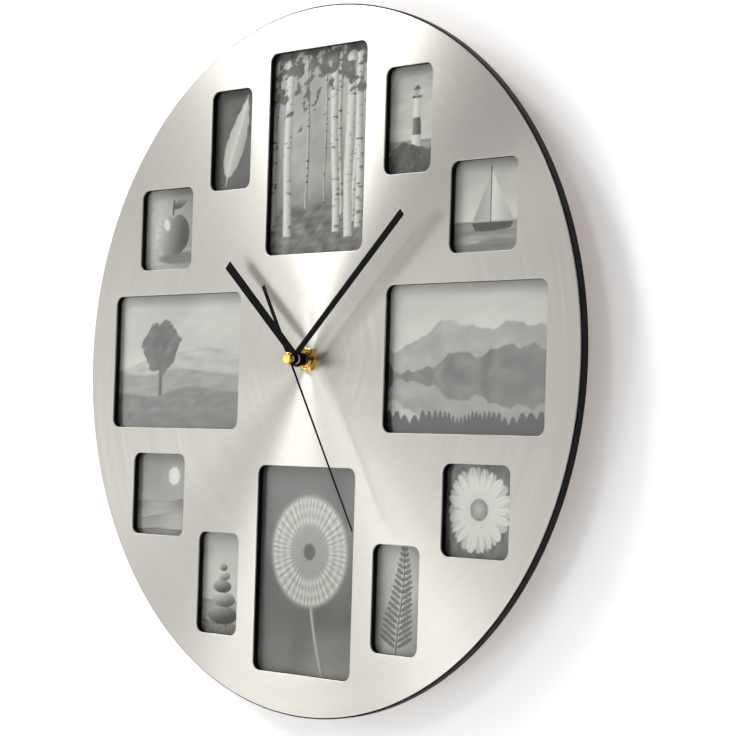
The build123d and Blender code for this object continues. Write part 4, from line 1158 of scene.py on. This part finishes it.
# %% Wall and floor
def one_sided_white(name, glow):
    """White paint seen from its front only, with a little of its own light for the camera."""
    material, skin, add, place = new_finish(name)
    camera_ray, glossy_ray, shadow_ray = (add("LightPath", output=f"Is {ray} Ray")
                                          for ray in ("Camera", "Glossy", "Shadow"))
    seen = add("Math", {0: camera_ray, 1: glossy_ray}, operation="MAXIMUM")
    cloudy = add("TexNoise", {"Vector": place, "Scale": 40})
    paint = add("Mix", {"Factor": cloudy, FIRST: "#f3f3f3", SECOND: "#f5f5f5"}, MIXED, data_type="RGBA")
    plug(skin, {
        "Base Color": paint, "Roughness": 0.9, "Emission Color": "#ffffff",
        "Emission Strength": add("Math", {0: seen, 1: glow}, operation="MULTIPLY")})
    behind = add("NewGeometry", output="Backfacing")
    hidden = add("Math", {0: behind, 1: shadow_ray}, operation="MAXIMUM")
    mixed = add("MixShader", {0: hidden, 1: skin.outputs[0], 2: add("BsdfTransparent")})
    plug(material.node_tree.nodes["Material Output"], {"Surface": mixed})
    return material


def backdrop(name, corners, material):
    """A flat stage piece from its corners in metres."""
    mesh = bpy.data.meshes.new(name)
    mesh.from_pydata(corners, [], [tuple(range(len(corners)))])
    mesh.materials.append(material)
    piece = add_object(name, mesh)
    piece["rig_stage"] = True


wall_y, floor_z, reach = 0.0004, -0.75, 4.0
backdrop("white_wall", [(-reach, wall_y, floor_z), (reach, wall_y, floor_z), (reach, wall_y, reach),
                        (-reach, wall_y, reach)], one_sided_white("matt white wall paint", 0.2))
backdrop("pale_floor", [(-reach, -reach, floor_z), (reach, -reach, floor_z), (reach, reach, floor_z),
                        (-reach, reach, floor_z)], one_sided_white("pale floor paint", 0.0))

# %% Lights
def towards(azimuth, elevation):
    """The direction from the clock to a place round it, from angles in degrees."""
    a, e = radians(azimuth), radians(elevation)
    return Vector((sin(a) * cos(e), -cos(a) * cos(e), sin(e)))


def softbox(name, azimuth, elevation, distance, wide, tall, level):
    """A soft rectangular lamp that faces the dial. Level is its share of a fully lit white face."""
    way = towards(azimuth, elevation)
    lamp = bpy.data.lights.new(name, "AREA")
    lamp.shape, lamp.size, lamp.size_y = "RECTANGLE", wide, tall
    lamp.energy = level * pi ** 2 * distance ** 2 / max(0.05, abs(way.y))
    stand = add_object(name, lamp)
    stand.location = way * distance
    stand.rotation_mode = "QUATERNION"
    stand.rotation_quaternion = way.to_track_quat("Z", "Y")
    print(f"{name}: {lamp.energy:.1f} W")


softbox("high softbox", -46, 45, 1.7, 0.35, 0.35, 0.181)
softbox("middle softbox", -46, 30, 1.7, 0.35, 0.35, 0.070)
softbox("left softbox", -62, 30, 1.7, 0.35, 0.35, 0.118)
softbox("wide softbox", -46, 0, 1.7, 0.9, 0.35, 0.060)
softbox("low reflector", -28, -26, 1.7, 0.35, 0.35, 0.070)
softbox("front softbox", 5, 30, 1.7, 0.35, 0.35, 0.081)
softbox("small front lamp", -28, 7, 1.7, 0.2, 0.2, 0.015)
softbox("back lamp", 205, 30, 1.8, 1.4, 1.4, 0.5)

# %% The room's light
# The room is white to the camera, lights the clock at a share of that, and is dim where a surface mirrors it.
room_light, mirrored_room = 0.425, 0.06
scene.world = bpy.data.worlds.new("studio")
scene.world.use_nodes = True
add = adder(scene.world.node_tree)
camera_ray, glossy_ray, through_ray = (add("LightPath", output=f"Is {ray} Ray")
                                       for ray in ("Camera", "Glossy", "Transmission"))
mirrored = add("Math", {0: glossy_ray, 1: through_ray}, operation="MAXIMUM")
filled = add("MapRange", {"Value": mirrored, "To Min": room_light, "To Max": mirrored_room})
plug(scene.world.node_tree.nodes["Background"], {
    "Color": "#ffffff", "Strength": add("Math", {0: camera_ray, 1: filled}, operation="MAXIMUM")})

# %% [markdown]
# ## Camera
# The photograph was taken from the clock's right, 46 degrees round and a touch below its middle, with the
# camera tipped by less than two degrees. Its distance follows from how much the near side of the ring is
# larger than the far side.

# %% Camera
target, distance, roll, lens = Vector((0.0417, -0.0202, -0.00428)), 1.0829, radians(1.67), 110.85
back = towards(45.85, -2.01)
right = (-back).cross(Vector((0, 0, 1))).normalized()
up = right.cross(-back)
level_x = cos(roll) * right + sin(roll) * up
level_y = -sin(roll) * right + cos(roll) * up
data = bpy.data.cameras.new("camera")
data.sensor_width, data.lens = 36.0, lens
scene.camera = add_object("camera", data)
turn = Matrix((level_x, level_y, back)).transposed().to_4x4()
scene.camera.matrix_world = Matrix.Translation(target + back * distance) @ turn
scene.view_settings.view_transform = "Standard"

# %% Sizes, and the end
visual_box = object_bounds()
sizes = {name: [[float(v) for v in corner] for corner in box] for name, box in
         (("frame", frame_box), ("visual", visual_box))}
print(sizes)
